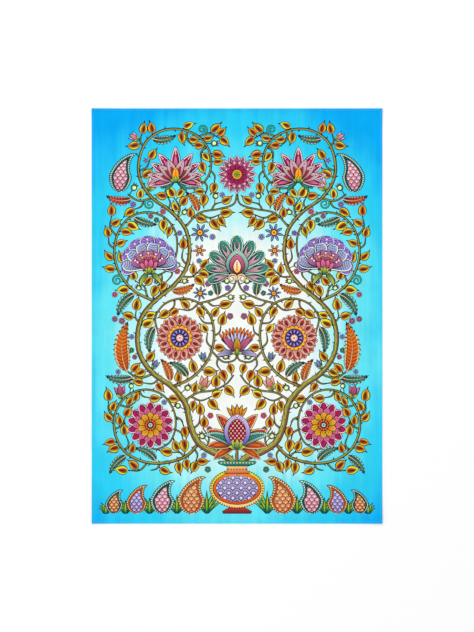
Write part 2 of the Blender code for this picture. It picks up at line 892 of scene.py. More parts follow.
@dataclass(frozen=True)
class Curls(Part):
    """One curl, or a pair of them to either side."""

    radius: float
    turns: float
    wide: float
    dye: Dye
    pair: bool = True

    def draw(self, cartoon: Cartoon, place: Placing) -> None:
        """Lays the curls as inked lines.

        Args:
            cartoon: the drawing that takes the shapes.
            place: where the motif's own zero sits.
        """
        path = np.vstack([(0.0, -5.0), coil_path(self.radius, self.turns, 27)])
        wide = np.linspace(self.wide, 0.55 * self.wide, 28)
        hands = (1.0, -1.0) if self.pair else (1.0,)
        for hand in hands:
            cartoon.stroke(place, path * (hand, 1.0), wide, Dye.INK, main=True)
            cartoon.stroke(place, path * (hand, 1.0), wide - 2.2, self.dye)


@dataclass(frozen=True)
class Stalk(Part):
    """The short stalk of a small motif."""

    length: float = 6.0

    def draw(self, cartoon: Cartoon, place: Placing) -> None:
        """Lays the stalk."""
        rows = [(0, -5), (0.5, self.length / 2), (0, self.length)]
        cartoon.stroke(place, rows, 2.2, Dye.INK, main=True)


@dataclass(frozen=True)
class Motif(Part):
    """A flower, fruit or curl made of parts, with the circle that it takes up.

    Its parts sit on its centre, which is this far above its foot.
    """

    parts: tuple[Part, ...]
    radius: float
    middle: float
    centre: float = 0.0
    side: float = 0.0

    def circles(self, place: Placing) -> list[Circle]:
        """The circle that the motif takes."""
        return [place.circle(self.side, self.middle, self.radius)]

    def draw(self, cartoon: Cartoon, place: Placing) -> None:
        """Lays the parts in order.

        Args:
            cartoon: the drawing that takes the shapes.
            place: where the motif's own zero sits.
        """
        for part in self.parts:
            foot = 0.0 if isinstance(part, Stalk) else self.centre
            part.draw(cartoon, place.within(0, foot))


CUP = Petals(5, 19, 12, Dye.PINE, Dye.GRASS_YELLOW, 76, 0.35, 1.0, lift=-3, ink=1.2, stations=5)
LOTUS = Motif(
    (
        Petals(4, 42, 14, Dye.PINE, Dye.TEAL, 114, 0.5, 1.1, 0.9, lift=4),
        Petals(9, 90, 28, Dye.PLUM, Dye.MAGENTA, 90, 0.9, 0.85, 0.35, 3, 0.20, hatch=5.2,
               band=Dye.PINK_PALE, flame=Flame(0.62, 0.50, Dye.WINE, Dye.PINK, 0.14),
               dots=Dots(3, 0.77, 0.89, 1.7, Dye.CREAM), stations=8),
        Petals(6, 62, 25, Dye.WINE, Dye.PINK_PALE, 66, 0.75, 0.8, 0.25, hatch=4.6,
               flame=Flame(0.6, 0.46, Dye.PLUM, Dye.RED, 0.08),
               dots=Dots(2, 0.78, 0.88, 1.6, Dye.WINE)),
        Petals(1, 37, 21, Dye.ORANGE, Dye.SUN, 0, 0.5, 0.7, dots=Dots(5, 0.2, 0.8, 2.0, Dye.RED)),
        CUP,
    ),
    54, 48,
)
ROSETTE = Motif(
    (
        Petals(13, 58, 26, Dye.WINE, Dye.CORAL, root=1.0, tip=0.72, offset=0.5, hatch=4.8,
               band=Dye.CORAL_PALE),
        Petals(13, 56, 25, Dye.RED, Dye.CORAL_PALE, root=1.0, tip=0.72, hatch=4.8,
               flame=Flame(0.30, 0.34, Dye.WINE, Dye.RED, 0.56), stations=8,
               dots=Dots(1, 0.91, 0.91, 1.7, Dye.WINE)),
        Disc(31, Dye.ORANGE, Dye.SUN, lobes=16),
        Beads(26.2, 16, 1.6, Dye.RED),
        Disc(23, Dye.BLUE_DEEP, Dye.VIOLET),
        Petals(12, 13, 6.8, Dye.VIOLET, Dye.LILAC_PALE, root=0.6, tip=0.6, lift=8.8, stations=5),
        Disc(10, Dye.CREAM, Dye.PINK),
        Beads(6.0, 7, 1.4, Dye.MAGENTA),
        Disc(2.6, Dye.SUN, Dye.SUN),
    ),
    56, 57, 57,
)
ASTER = Motif(
    (
        Petals(16, 56, 21, Dye.PLUM, Dye.MAUVE, root=1.1, tip=0.7, hatch=4.6, band=Dye.PINK_PALE),
        Petals(14, 43, 18, Dye.WINE, Dye.PINK, root=1.1, tip=0.7, offset=0.5, hatch=4.3,
               dots=Dots(1, 0.78, 0.78, 1.8, Dye.CREAM)),
        Petals(10, 31, 17, Dye.PLUM, Dye.MAGENTA, root=1.1, tip=0.7, hatch=4.3),
        Disc(15, Dye.ORANGE, Dye.SUN, lobes=14),
        Disc(9, Dye.GRASS, Dye.GRASS_YELLOW),
        Beads(4.6, 6, 1.5, Dye.LEAF_UMBER),
    ),
    53, 54, 54,
)
PEONY = Motif(
    (
        Petals(4, 40, 14, Dye.PINE, Dye.GRASS_YELLOW, 118, 0.5, 1.1, 1.0, lift=4),
        Petals(7, 66, 40, Dye.VIOLET, Dye.LILAC, 94, 1.5, 0.42, up=20, hatch=5.6, lean=0.3,
               band=Dye.LILAC_PALE, dots=Dots(3, 0.62, 0.86, 2.0, Dye.CREAM), stations=10),
        Petals(6, 64, 33, Dye.BLUE_DEEP, Dye.BLUE_PALE, 72, 1.5, 0.42, up=6, hatch=5.2, lean=0.3,
               band=Dye.CREAM, dots=Dots(2, 0.70, 0.84, 2.1, Dye.ORANGE), stations=10),
        Petals(5, 47, 28, Dye.PLUM, Dye.MAUVE, 52, 1.5, 0.42, up=6, hatch=4.8, lean=0.3,
               dots=Dots(2, 0.70, 0.84, 2.0, Dye.CREAM), stations=9),
        Stamens(9, 42, 8, 29, Dye.RED, Dye.SUN, up=10),
        Petals(4, 28, 15, Dye.WINE, Dye.PINK, 44, 0.9, 0.6, up=3, stations=6),
        CUP,
    ),
    54, 50,
)
POMEGRANATE = Motif(
    (
        Petals(8, 102, 32, Dye.RUST, Dye.CORAL, 100, 0.95, 0.85, 0.65, 4, 0.36, hatch=5.2,
               band=Dye.SAND,
               flame=Flame(0.66, 0.42, Dye.WINE, Dye.ORANGE, 0.14),
               dots=Dots(3, 0.80, 0.92, 1.7, Dye.WINE), stations=9),
        Petals(5, 42, 13, Dye.RED, Dye.SUN, 38, 0.8, 0.9, up=68, hatch=4.4, stations=6),
        Petals(2, 96, 26, Dye.PINE, Dye.TEAL_PALE, 43, 0.6, 0.9, -0.95, hatch=5.2, lean=0.4,
               flame=Flame(0.74, 0.4, Dye.PINE, Dye.TEAL, 0.08), stations=10),
        Petals(1, 82, 68, Dye.VIOLET, Dye.LILAC_PALE, 0, 0.5, 0.55, hatch=5.6, stations=12),
        Petals(1, 64, 46, Dye.PINK_PALE, Dye.CREAM, 0, 0.55, 0.6, up=8, stations=10),
        Scales(46, 66, 10.0, Dye.WINE, Dye.RED, 6, seeds=True),
        replace(CUP, length=27, width=15, spread=84),
    ),
    62, 56,
)
PALMETTE = Motif(
    (
        Petals(9, 94, 33, Dye.PINE, Dye.TEAL, 104, 1.5, 0.5, up=12, shrink=0.2, stations=9,
               band=Dye.TEAL_PALE,
               hatch=5.6, lean=0.2, flame=Flame(0.76, 0.56, Dye.WINE, Dye.PINK_PALE, hatch=4.8)),
        Petals(9, 22, 9, Dye.PINE, Dye.TEAL, 104, 0.9, 0.6, up=12, lift=58, shrink=0.2, stations=5),
        Petals(1, 68, 58, Dye.PINE, Dye.TEAL_PALE, 0, 0.6, 0.75, up=4, hatch=5.6, stations=12),
        Petals(1, 51, 40, Dye.WINE, Dye.PINK, 0, 0.6, 0.75, up=9, hatch=4.8, stations=10),
        Petals(1, 34, 22, Dye.SUN, Dye.CREAM, 0, 0.6, 0.8, up=13,
               dots=Dots(5, 0.22, 0.74, 2.0, Dye.RED)),
        Curls(12, 1.3, 5.6, Dye.SAND),
    ),
    64, 62,
)
TULIP = Motif(
    (
        Petals(4, 56, 18, Dye.BLUE_DEEP, Dye.LILAC_PALE, 76, 0.8, 1.0, 0.9, lift=4, hatch=4.6),
        Petals(11, 70, 10, Dye.RED, Dye.ORANGE, 42, 1.4, 0.6, lift=2, stations=6),
        Petals(8, 57, 10, Dye.BLUE_DEEP, Dye.LILAC_PALE, 38, 1.2, 0.55, lift=2, stations=6),
        Petals(2, 60, 21, Dye.PLUM, Dye.PINK, 27, 0.75, 0.95, 0.55, hatch=4.6),
        Petals(1, 45, 23, Dye.WINE, Dye.SUN, 0, 0.6, 0.95, hatch=4.6),
        replace(CUP, count=3),
    ),
    38, 38,
)
MARIGOLD = Motif(
    (
        Petals(14, 57, 25, Dye.PLUM, Dye.MAGENTA, root=1.3, tip=0.5, hatch=4.6, stations=8,
               band=Dye.PINK_PALE),
        Petals(14, 43, 19, Dye.WINE, Dye.PINK, root=1.3, tip=0.5, offset=0.5, hatch=4.6),
        Petals(10, 31, 18, Dye.RUST, Dye.SUN, root=1.3, tip=0.5, hatch=4.3),
        Disc(15, Dye.WINE, Dye.RED, lobes=12),
        Beads(10.6, 12, 1.3, Dye.SUN),
        Disc(7, Dye.TEAL_PALE, Dye.TEAL),
        Disc(2.5, Dye.CREAM, Dye.CREAM),
    ),
    54, 55, 55,
)


def blossom(radius: float, count: int, near: Dye, far: Dye) -> Motif:
    """A small open flower seen from above.

    Args:
        radius: the length of a petal.
        count: how many petals.
        near: the colour at the foot.
        far: the colour at the tip.

    Returns:
        The flower.
    """
    broad = 2.6 * radius / count
    return Motif(
        (
            Stalk(radius * 0.6),
            Petals(count, radius, broad, near, far, root=0.9, tip=0.62, hatch=4.1, stations=5),
            Disc(0.34 * radius, Dye.SUN, Dye.ORANGE),
            Beads(0.0, 1, 0.12 * radius, Dye.RED),
        ),
        radius + 1, radius, radius,
    )


def floret(radius: float, near: Dye, far: Dye) -> Motif:
    """A small loose flower that fills a gap.

    Args:
        radius: the length of a petal.
        near: the colour at the foot.
        far: the colour at the tip.

    Returns:
        The flower.
    """
    return Motif(
        (
            Petals(5, radius, 0.98 * radius, near, far, root=0.9, tip=0.6, ink=1.4, stations=4),
            Disc(0.3 * radius, Dye.SUN, Dye.ORANGE, ink=1.1),
        ),
        radius + 1, 0,
    )


def bud(length: float, near: Dye, far: Dye) -> Motif:
    """A closed bud in its green cup.

    Args:
        length: the bud's length.
        near: the colour at the foot.
        far: the colour at the tip.

    Returns:
        The bud.
    """
    n = length
    return Motif(
        (
            Stalk(4),
            Petals(2, 0.94 * n, 0.38 * n, near, far, 14, 0.6, 0.9, -0.35, stations=6),
            Petals(1, n, 0.44 * n, near, far, 0, 0.55, 0.95, hatch=4.1, stations=6),
            Petals(2, 0.5 * n, 0.24 * n, Dye.PINE, Dye.GRASS_YELLOW, 30, 0.4, 1.0, 0.5, up=-1,
                   ink=0.8, stations=5),
        ),
        0.42 * n, 0.5 * n,
    )


def berry(radius: float) -> Motif:
    """A pale green berry with a dark crown, on a thin stalk.

    Args:
        radius: the berry's radius.

    Returns:
        The berry.
    """
    return Motif(
        (
            Stalk(9),
            Petals(3, 7.5, 4.6, Dye.WINE, Dye.LEAF_BROWN, 30, 0.4, 1.0, lift=radius - 1.5,
                   ink=0.9, stations=4),
            Disc(radius, Dye.BERRY_GREEN, Dye.PINE, ink=1.8),
            Disc(0.56 * radius, Dye.BERRY_PALE, Dye.BERRY_PALE, up=0.1 * radius,
                 side=-0.12 * radius, ink=0.0),
        ),
        radius + 1.5, 8 + radius, 8 + radius,
    )


def tendril(radius: float) -> Motif:
    """A thin curl that winds up on itself."""
    return Motif((Curls(radius, 1.5, 5.8, Dye.TEAL, pair=False),), radius, 0.3 * radius, side=radius)


def tuft(count: int, height: float, spread: float) -> Motif:
    """A tuft of grass-like blades.

    Args:
        count: how many tall blades.
        height: their height.
        spread: how far they fan out, in degrees to each side.

    Returns:
        The tuft.
    """
    light = Flame(0.82, 0.52, Dye.GRASS, Dye.GRASS_YELLOW, 0.10)
    tall = Petals(count, height, 12.0, Dye.PINE, Dye.GRASS, spread, 0.35, 1.15, 0.6, shrink=0.3,
                  flame=light, ink=0.9)
    short = replace(tall, count=max(1, count - 1), length=0.7 * height, spread=0.8 * spread)
    return Motif((tall, short), 0.5 * height, 0.5 * height)


class LeafTone(Enum):
    """The leaf colours: the heart's dark and warm end, then the flesh and the rim."""

    GOLD = (Dye.LEAF_UMBER, Dye.LEAF_BROWN, Dye.LEAF_AMBER, Dye.LEAF_GOLD)
    LIME = (Dye.LEAF_UMBER, Dye.LEAF_BROWN, Dye.LEAF_LIME, Dye.LEAF_GOLD)
    DUSK = (Dye.LEAF_UMBER, Dye.RUST, Dye.LEAF_AMBER, Dye.SUN)


@dataclass(frozen=True)
class Leaf(Part):
    """One small golden leaf with a brown heart, on a short stalk."""

    length: float = 30.0
    width: float = 22.0
    bend: float = 0.3
    tone: LeafTone = LeafTone.GOLD
    ink: float = 2.1

    def circles(self, place: Placing) -> list[Circle]:
        """The circles that the leaf takes."""
        blade = Blade(self.length, self.width, bend=self.bend)
        return blade.circles(place, ((0.32, 0.44), (0.58, 0.42), (0.86, 0.2)))

    def draw(self, cartoon: Cartoon, place: Placing) -> None:
        """Lays the leaf: stalk, hooked tip, blade, and a heart with a dark slit.

        Args:
            cartoon: the drawing that takes the shapes.
            place: where the motif's own zero sits.
        """
        blade = Blade(self.length, self.width, 0.52, 0.80, self.bend, 8)
        dark, warm, flesh, rim = self.tone.value
        half = self.width / 2
        cartoon.stroke(place, [(0, -5), (0, -1), (0, 3)], [3.2, 2.9, 2.9], Dye.INK)
        hook = blade.spine([0.88, 1.02, 1.19])
        cartoon.stroke(place, hook, [4.8, 3.3, 1.0], Dye.INK)
        cartoon.fill(place, blade.loop(), Dye.INK, main=True)
        cartoon.fill(place.within(0.3, 0.2), blade.loop(self.ink), flesh, rim,
                     blade.spine([0.02, 0.5, 0.95]), Grading.RIB, (0.34 * half, 0.66 * half), main=True)
        heart = Blade(0.72 * self.length, 0.56 * self.width, 0.5, 0.9, 0.72 * self.bend, 6)
        at = place.within(0.05 * self.width, 2.2)
        cartoon.fill(at, heart.loop(), dark, warm, heart.spine([0.1, 0.5, 0.9]), Grading.RIB,
                     (0.0, 0.42 * half))
        slit = Blade(0.42 * self.length, 0.13 * self.width, 0.7, 0.8, 0.42 * self.bend, 3)
        cartoon.fill(at.within(0, 0.16 * self.length), slit.loop(), Dye.INK)


@dataclass(frozen=True)
class SawLeaf(Part):
    """A long curved leaf with a toothed edge and a drawn-out tip."""

    length: float = 128.0
    width: float = 44.0
    bend: float = 1.0
    teeth: int = 12
    core: Dye = Dye.RUST
    rim: Dye = Dye.SAND
    flesh: Dye = Dye.ORANGE

    def circles(self, place: Placing) -> list[Circle]:
        """The circles that the leaf takes."""
        rows = ((0.12, 0.3), (0.3, 0.46), (0.5, 0.44), (0.7, 0.32), (0.9, 0.16))
        return Blade(self.length, self.width, bend=self.bend).circles(place, rows)

    def draw(self, cartoon: Cartoon, place: Placing) -> None:
        """Lays the leaf: toothed blade, inner leaf, side veins, dots and middle vein.

        Args:
            cartoon: the drawing that takes the shapes.
            place: where the motif's own zero sits.
        """
        blade = Blade(self.length, self.width, 0.62, 1.05, self.bend, 12, self.teeth, 0.22)
        plain, half = replace(blade, teeth=0), self.width / 2
        cartoon.fill(place, blade.loop(), Dye.INK, main=True)
        cartoon.fill(place, blade.loop(1.6), self.rim, blended(self.rim, self.core, 0.4),
                     blade.spine([0.0, 0.5, 1.0]), main=True)
        cartoon.petal(place, replace(plain, width=1.24 * half), self.core, self.flesh, 1.2)
        shares = np.linspace(0.1, 0.86, self.teeth)
        reach = plain.half(shares) * 0.9
        for hand in (1.0, -1.0):
            root = plain.side(shares - 0.035, reach * 0 + 0.4 * hand)
            middle = plain.side(shares, 0.55 * reach * hand)
            for rows in zip(root, middle, plain.side(shares + 0.05, reach * hand)):
                cartoon.stroke(place, rows, [1.7, 1.4, 0.6], Dye.INK_BROWN)
            spots = plain.side(shares + 0.02, reach * 0.74 * hand)
            cartoon.dots(place, spots, 0.026 * self.width, Dye.WINE)
        middle = plain.spine(np.linspace(-0.03, 1.0, 12))
        cartoon.stroke(place, middle, np.linspace(3.6, 1.2, 12), Dye.INK, main=True)
        cartoon.stroke(place, middle[:-2], np.linspace(1.9, 0.4, 10), Dye.SAND)


@dataclass(frozen=True)
class Boteh(Part):
    """A paisley: a round body that draws out to a hooked tip, in nested bands."""

    height: float = 88.0
    girth: float = 62.0
    band: Dye = Dye.WINE
    rim: Dye = Dye.GRASS_YELLOW
    near: Dye = Dye.VIOLET
    far: Dye = Dye.LILAC_PALE
    pitch: float = 13.0
    # The middle line in shares of the height, which leans one way and then hooks back
    line: Rows = ((0.0, 0.0), (0.0, 0.30), (0.02, 0.52), (0.10, 0.72), (0.24, 0.88), (0.40, 0.93))

    def spine(self) -> Points:
        """The middle line of the body, from its foot."""
        return spaced_path(np.array(self.line) * self.height, 3.0)

    def outline(self, inset: float) -> Points:
        """The outline, drawn in by the inset.

        Args:
            inset: how far it is drawn in, in millimetres.

        Returns:
            The closed outline.
        """
        line = self.spine()
        s, top = distances(line), 0.34
        s = s / s[-1]
        low = np.sqrt(np.clip(1 - ((top - s) / (top + 0.012)) ** 2, 0, 1))
        high = np.clip(1 - (s - top) / (1.0 - top), 0, 1) ** 1.12
        half = np.where(s < top, low, high) * self.girth / 2 - inset
        keep = half > 0.05
        loop = ribbon(line, np.maximum(half, 0.0) * 2)
        return loop[np.concatenate([keep, keep[::-1]])]

    def circles(self, place: Placing) -> list[Circle]:
        """The circles that the paisley takes.

        Args:
            place: where the motif's own zero sits.

        Returns:
            The circles on the cartoon.
        """
        line = self.spine()
        rows = ((0.30, 0.5), (0.62, 0.34), (0.95, 0.14))
        spots = [(line[int(share * (len(line) - 1))], part) for share, part in rows]
        return [place.circle(x, y, part * self.girth) for (x, y), part in spots]

    def draw(self, cartoon: Cartoon, place: Placing) -> None:
        """Lays the bands from the outside in, then beads and scales.

        Args:
            cartoon: the drawing that takes the shapes.
            place: where the motif's own zero sits.
        """
        part = self.girth / 62
        cartoon.fill(place, self.outline(0.0), Dye.INK, main=True)
        cartoon.fill(place, self.outline(1.8), self.rim, main=True)
        beads = spaced_path(self.outline(3.6 * part), 5.6 * part)
        cartoon.dots(place, beads[:-1], 1.7 * part, Dye.INK_BROWN)
        for inset, ink, dye in ((6.0, 1.6, self.band), (10.5, 1.5, self.near)):
            cartoon.fill(place, self.outline(inset * part), Dye.INK, main=True)
            cartoon.fill(place, self.outline(inset * part + ink), dye, main=True)
        Scales(self.girth, self.height, self.pitch, self.near, self.far).draw(cartoon, place)


@dataclass(frozen=True)
class Vase(Part):
    """A full vase on a foot, with a flared mouth, a collar and a scaled belly."""

    def turned(self, cartoon: Cartoon, place: Placing, rows: Rows, near: Dye, far: Dye) -> None:
        """Lays an inked turned shape from rows of height and half width.

        Args:
            cartoon: the drawing that takes the shapes.
            place: where the motif's own zero sits.
            rows: heights with half widths, from the bottom up.
            near: the colour at the foot.
            far: the colour at the tip.
        """
        table = np.array(rows)
        for inset, first, last in ((0.0, Dye.INK, Dye.INK), (1.3, near, far)):
            up = np.clip(table[:, 0], table[0, 0] + inset, table[-1, 0] - inset)
            half = np.maximum(table[:, 1] - inset, 0.3)
            right = np.stack([half, up], axis=1)
            loop = np.vstack([right, (right * (-1, 1))[::-1]])
            spine = ((0, table[0, 0]), (0, table[-1, 0]))
            cartoon.fill(place, loop, first, last, spine, main=True)

    def draw(self, cartoon: Cartoon, place: Placing) -> None:
        """Lays the foot, the belly with its bands, the neck and the mouth.

        Args:
            cartoon: the drawing that takes the shapes.
            place: where the motif's own zero sits.
        """
        foot = ((0, 34), (6, 37), (10, 30), (16, 20), (24, 18))
        self.turned(cartoon, place, foot, Dye.WINE, Dye.RUST)
        belly = Blade(96, 136, 0.5, 0.5, stations=16)
        bands = ((0.0, Dye.SAND, Dye.GRASS_YELLOW), (8.5, Dye.RUST, Dye.ORANGE),
                 (15.5, Dye.VIOLET, Dye.LILAC))
        for inset, near, far in bands:
            size = replace(belly, length=96 - 2 * inset, width=136 - 2 * inset)
            cartoon.petal(place.within(0, 14 + inset), size, near, far, 1.3)
            if not inset:
                beads = spaced_path(np.vstack([belly.loop(4.4), belly.loop(4.4)[:1]]), 6.2)
                cartoon.dots(place.within(0, 14), beads[:-1], 1.9, Dye.INK_BROWN)
                cartoon.petal(place.within(0, 21.8), replace(belly, length=80.4, width=120.4),
                              Dye.INK, Dye.INK, 1.0)
        Scales(110, 70, 20.0, Dye.VIOLET, Dye.LILAC_PALE, 26).draw(cartoon, place)
        neck = ((98, 34), (104, 27), (112, 24), (118, 27))
        self.turned(cartoon, place, neck, Dye.RUST, Dye.SAND)
        cartoon.dots(place, [(7.2 * k, 108.5) for k in range(-3, 4)], 1.9, Dye.WINE)
        mouth = ((116, 28), (121, 44), (126, 48), (130, 44))
        self.turned(cartoon, place, mouth, Dye.PINE, Dye.TEAL)
        cartoon.dots(place, [(7.6 * k, 124.5) for k in range(-5, 6)], 1.8, Dye.SAND)


@dataclass(frozen=True)
class Stem:
    """A vine, branch or twig: rows of x, y and width, from its root on."""

    rows: tuple[tuple[float, float, float], ...]
    step: float = 6.0
    thorns: bool = False

    def circles(self, skip: float = 0.0) -> list[Circle]:
        """The circles that the stem takes, from this far along it."""
        line = spaced_path(self.rows, 4.0)
        return [(x, y, w / 2 + 0.8) for x, y, w in line[round(skip / 4.0):]]

    def draw(self, cartoon: Cartoon) -> None:
        """Lays the stem: thorns, inked edge, a light side, a dark side and bark lines.

        Args:
            cartoon: the drawing that takes the shapes.
        """
        line = spaced_path(self.rows, self.step)
        wide = line[:, 2] + 0.8
        if self.thorns:
            self.draw_thorns(cartoon, line)
        inside = np.maximum(wide - 3.5, 0.6)
        self.lay(cartoon, line, wide, 0.0, Dye.INK, True)
        self.lay(cartoon, line, inside, 0.0, Dye.STEM_OLIVE, True)
        self.lay(cartoon, line, inside * 0.42, 0.68, Dye.STEM_BARK, False)
        if wide.max() > 8:
            self.draw_grain(cartoon, line)

    def lay(self, cartoon: Cartoon, line: Points, wide: Points, shift: float, dye: Dye,
            main: bool) -> None:
        """Lays a long stroke in short pieces that meet end to end.

        Args:
            cartoon: the drawing that takes the shapes.
            line: the middle of the stem.
            wide: the stroke's width at each point.
            shift: how far it lies to the right, as a share of the width.
            dye: its colour.
            main: whether it soaks through to the back.
        """
        loop = ribbon(line, wide, shift)
        left, right = loop[: len(line)], loop[len(line):][::-1]
        for k in range(0, len(line) - 1, 10):
            part = slice(k, min(k + 11, len(line)))
            cartoon.fill(Placing(), np.vstack([left[part], right[part][::-1]]), dye, main=main)

    def draw_thorns(self, cartoon: Cartoon, line: Points) -> None:
        """Lays short spurs on alternate sides.

        Args:
            cartoon: the drawing that takes the shapes.
            line: the stem's rows of x, y and width.
        """
        way = headings(line)
        for k in range(3, len(line) - 2, 4):
            hand = 1 if (k // 4) % 2 else -1
            out = np.array([way[k, 1], -way[k, 0]]) * hand
            foot = line[k, :2] + out * line[k, 2] * 0.3
            tip = foot + out * (line[k, 2] * 0.2 + 5.6) + way[k] * 3.6
            middle = (foot + tip) / 2 + way[k] * 0.4
            cartoon.stroke(Placing(), [foot, middle, tip], [4.0, 2.4, 0.6], Dye.INK)

    def draw_grain(self, cartoon: Cartoon, line: Points) -> None:
        """Lays short bark lines along the thick part.

        Args:
            cartoon: the drawing that takes the shapes.
            line: the stem's rows of x, y and width.
        """
        for k in range(1, len(line) - 4):
            if line[k, 2] < 7:
                break
            shift = 0.42 * math.sin(k * 2.4)
            bit = line[k : k + 3]
            bit = ribbon(bit, bit[:, 2] * 0.7, shift)[:3]
            cartoon.stroke(Placing(), bit, [0.3, 1.2, 0.3], Dye.LEAF_UMBER)


class Growth:
    """Clothes stems with leaves, berries, blossoms, curls and twigs wherever there is room."""

    tones = ((Dye.VIOLET, Dye.LILAC_PALE), (Dye.MAGENTA, Dye.PINK_PALE),
             (Dye.BLUE_DEEP, Dye.BLUE_PALE), (Dye.RED, Dye.CORAL_PALE), (Dye.PLUM, Dye.PINK))
    floret_tones = ((Dye.VIOLET, Dye.LILAC), (Dye.WINE, Dye.PINK), (Dye.BLUE_DEEP, Dye.BLUE_PALE),
                    (Dye.PLUM, Dye.MAUVE), (Dye.PINE, Dye.TEAL))
    saw_leaf_tones = ((Dye.RUST, Dye.SAND, Dye.ORANGE), (Dye.WINE, Dye.CORAL_PALE, Dye.CORAL),
                      (Dye.PINE, Dye.TEAL_PALE, Dye.TEAL))
    sizes = (1.0, 0.9)
    leans = (50, 66, 36, 84, 18)
    twig_leans = (0.95, 0.7, 1.25)
    twig_lengths = (54.0, 42.0, 32.0)
    # Rooms ahead of a twig for its crown of leaves: how far ahead, and the radius
    crown_rooms = ((10, 8.5), (18, 8.5), (28, 4))
    leaf_pitches = (19.0, 13.0, 8.0)
    # Florets keep inside a rounded oblong: its middle's height and its half width and height
    field_y = 30.0
    field_half = (300.0, 430.0)
    floret_radii = (7.0, 10.0)
    floret_tries = 4000

    def __init__(self, ground: Ground, seed: int) -> None:
        """Starts the painter's chance, which is the same each time.

        Args:
            ground: the places that are taken.
            seed: the chance's seed.
        """
        self.ground = ground
        self.chance = np.random.default_rng(seed)
        self.jobs: list[tuple[Part, Placing]] = []
        self.twigs: list[Stem] = []

    def pick(self, tones: Sequence[tuple[Dye, ...]]) -> tuple[Dye, ...]:
        """One row of dyes by chance."""
        return tones[int(self.chance.integers(len(tones)))]

    def leaf(self) -> Leaf:
        """A leaf of a chance size and tone.

        Returns:
            The leaf.
        """
        draw = self.chance.random()
        tone = LeafTone.GOLD if draw < 0.6 else LeafTone.LIME if draw < 0.8 else LeafTone.DUSK
        length = self.chance.uniform(28, 33)
        bend = self.chance.uniform(0.1, 0.6) * self.chance.choice([-1, 1])
        return Leaf(length, length * self.chance.uniform(0.70, 0.78), bend, tone)

    def small(self) -> Leaf | Motif:
        """A leaf, berry, blossom, curl or bud.

        Returns:
            The motif.
        """
        draw = self.chance.random()
        near, far = self.pick(self.tones)
        if draw < 0.34:
            return berry(self.chance.uniform(7.2, 8.6))
        if draw < 0.52:
            return tendril(self.chance.uniform(11, 15))
        if draw < 0.70:
            return blossom(self.chance.uniform(15, 19), int(self.chance.integers(5, 8)), near, far)
        if draw < 0.82:
            return bud(self.chance.uniform(24, 30), near, far)
        return self.leaf()

    def medium(self) -> SawLeaf | Motif:
        """A toothed leaf, a big bud or a medium blossom.

        Returns:
            The motif.
        """
        draw = self.chance.random()
        near, far = self.pick(self.tones)
        if draw < 0.6:
            tones, long = self.pick(self.saw_leaf_tones), self.chance.uniform(58, 76)
            bend = self.chance.uniform(0.6, 1.2) * self.chance.choice([-1, 1])
            return SawLeaf(long, 0.38 * long, bend, 8, *tones)
        if draw < 0.8:
            return bud(self.chance.uniform(36, 42), near, far)
        return blossom(self.chance.uniform(20, 24), 8, near, far)

    def hang(self, motif: Leaf | SawLeaf | Motif, node: tuple[Points, Points], hand: int,
             gap: float, slack: float) -> None:
        """Hangs a motif at one node of a stem, at the first turn and size that find room.

        Args:
            motif: what to hang.
            node: the place on the stem and the stem's direction there.
            hand: 1 for the stem's right side and -1 for its left.
            gap: how far the motif's foot is from the stem's middle.
            slack: how far circles may overlap.
        """
        foot, way = node
        heading = math.degrees(math.atan2(way[1], way[0])) - 90
        for size in self.sizes:
            for lean in self.leans:
                turn = heading - hand * (lean + self.chance.uniform(-6, 6))
                a = math.radians(turn)
                at = foot + np.array([-math.sin(a), math.cos(a)]) * gap
                place = Placing(at[0], at[1], turn, size, self.chance.random() < 0.5)
                circles = motif.circles(place)
                if self.ground.free(circles, slack):
                    self.ground.take(circles)
                    self.jobs.append((motif, place))
                    return

    def twig(self, node: tuple[Points, Points], hand: int, half: float) -> bool:
        """Tries a leafy twig at one node of a stem.

        Args:
            node: a place on the stem and the stem's direction there.
            hand: 1 for the stem's right side and -1 for its left.
            half: half the stem's width there.

        Returns:
            Whether the twig found room.
        """
        foot, way = node
        heading = math.atan2(way[1], way[0])
        for lean in self.twig_leans:
            for long in self.twig_lengths:
                a, b = heading - hand * lean, heading - hand * (lean - 0.75)
                middle = foot + polar(a, long / 2)
                tip = middle + polar(b, long / 2)
                stem = Stem(((*foot, 4.8), (*middle, 4.0), (*tip, 1.8)), 5.0)
                reach = [(x, y, r + 7) for x, y, r in stem.circles(half + 14)]
                crown = [(*(tip + polar(b, far)), room) for far, room in self.crown_rooms]
                if self.ground.free([*reach, *crown], 1.0):
                    self.twigs.append(stem)
                    self.ground.take(stem.circles(half + 2))
                    return True
        return False

    def nodes(self, stem: Stem, first: float, pitch: float) -> list[tuple[Points, Points, float]]:
        """Places along a stem, with the stem's direction and width there.

        Args:
            stem: the stem, branch or twig.
            first: how far along it the first place is.
            pitch: the distance between places.

        Returns:
            Each place, with the stem's direction and width there.
        """
        line = spaced_path(stem.rows, 1.0)
        way = headings(line)
        picks = range(int(first), len(line) - 4, max(1, int(pitch)))
        return [(line[k, :2], way[k], line[k, 2]) for k in picks]

    def clothe(self, stem: Stem, make: Callable[[], Leaf | SawLeaf | Motif], first: float,
               pitch: float, slack: float, both: bool = True) -> None:
        """Hangs motifs on both sides of a stem, or on one side and then the other.

        Args:
            stem: the stem, branch or twig.
            make: makes each motif.
            first: how far along the stem the first one is.
            pitch: the distance between them.
            slack: how far circles may overlap.
            both: whether each place has one on either side.
        """
        hand = 1
        for foot, way, wide in self.nodes(stem, first, pitch):
            for side in (hand, -hand) if both else (hand,):
                self.hang(make(), (foot, way), side, wide / 2 + 3.2, slack)
            hand = -hand

    def crown(self, stem: Stem) -> None:
        """Hangs three leaves at the end of a twig.

        Args:
            stem: the twig.
        """
        line = spaced_path(stem.rows, 1.0)
        node = (line[-1, :2], headings(line)[-1])
        self.hang(self.leaf(), node, 0, 1.5, 3.0)
        for hand in (1, -1):
            self.hang(self.leaf(), node, hand, 2.4, 2.4)

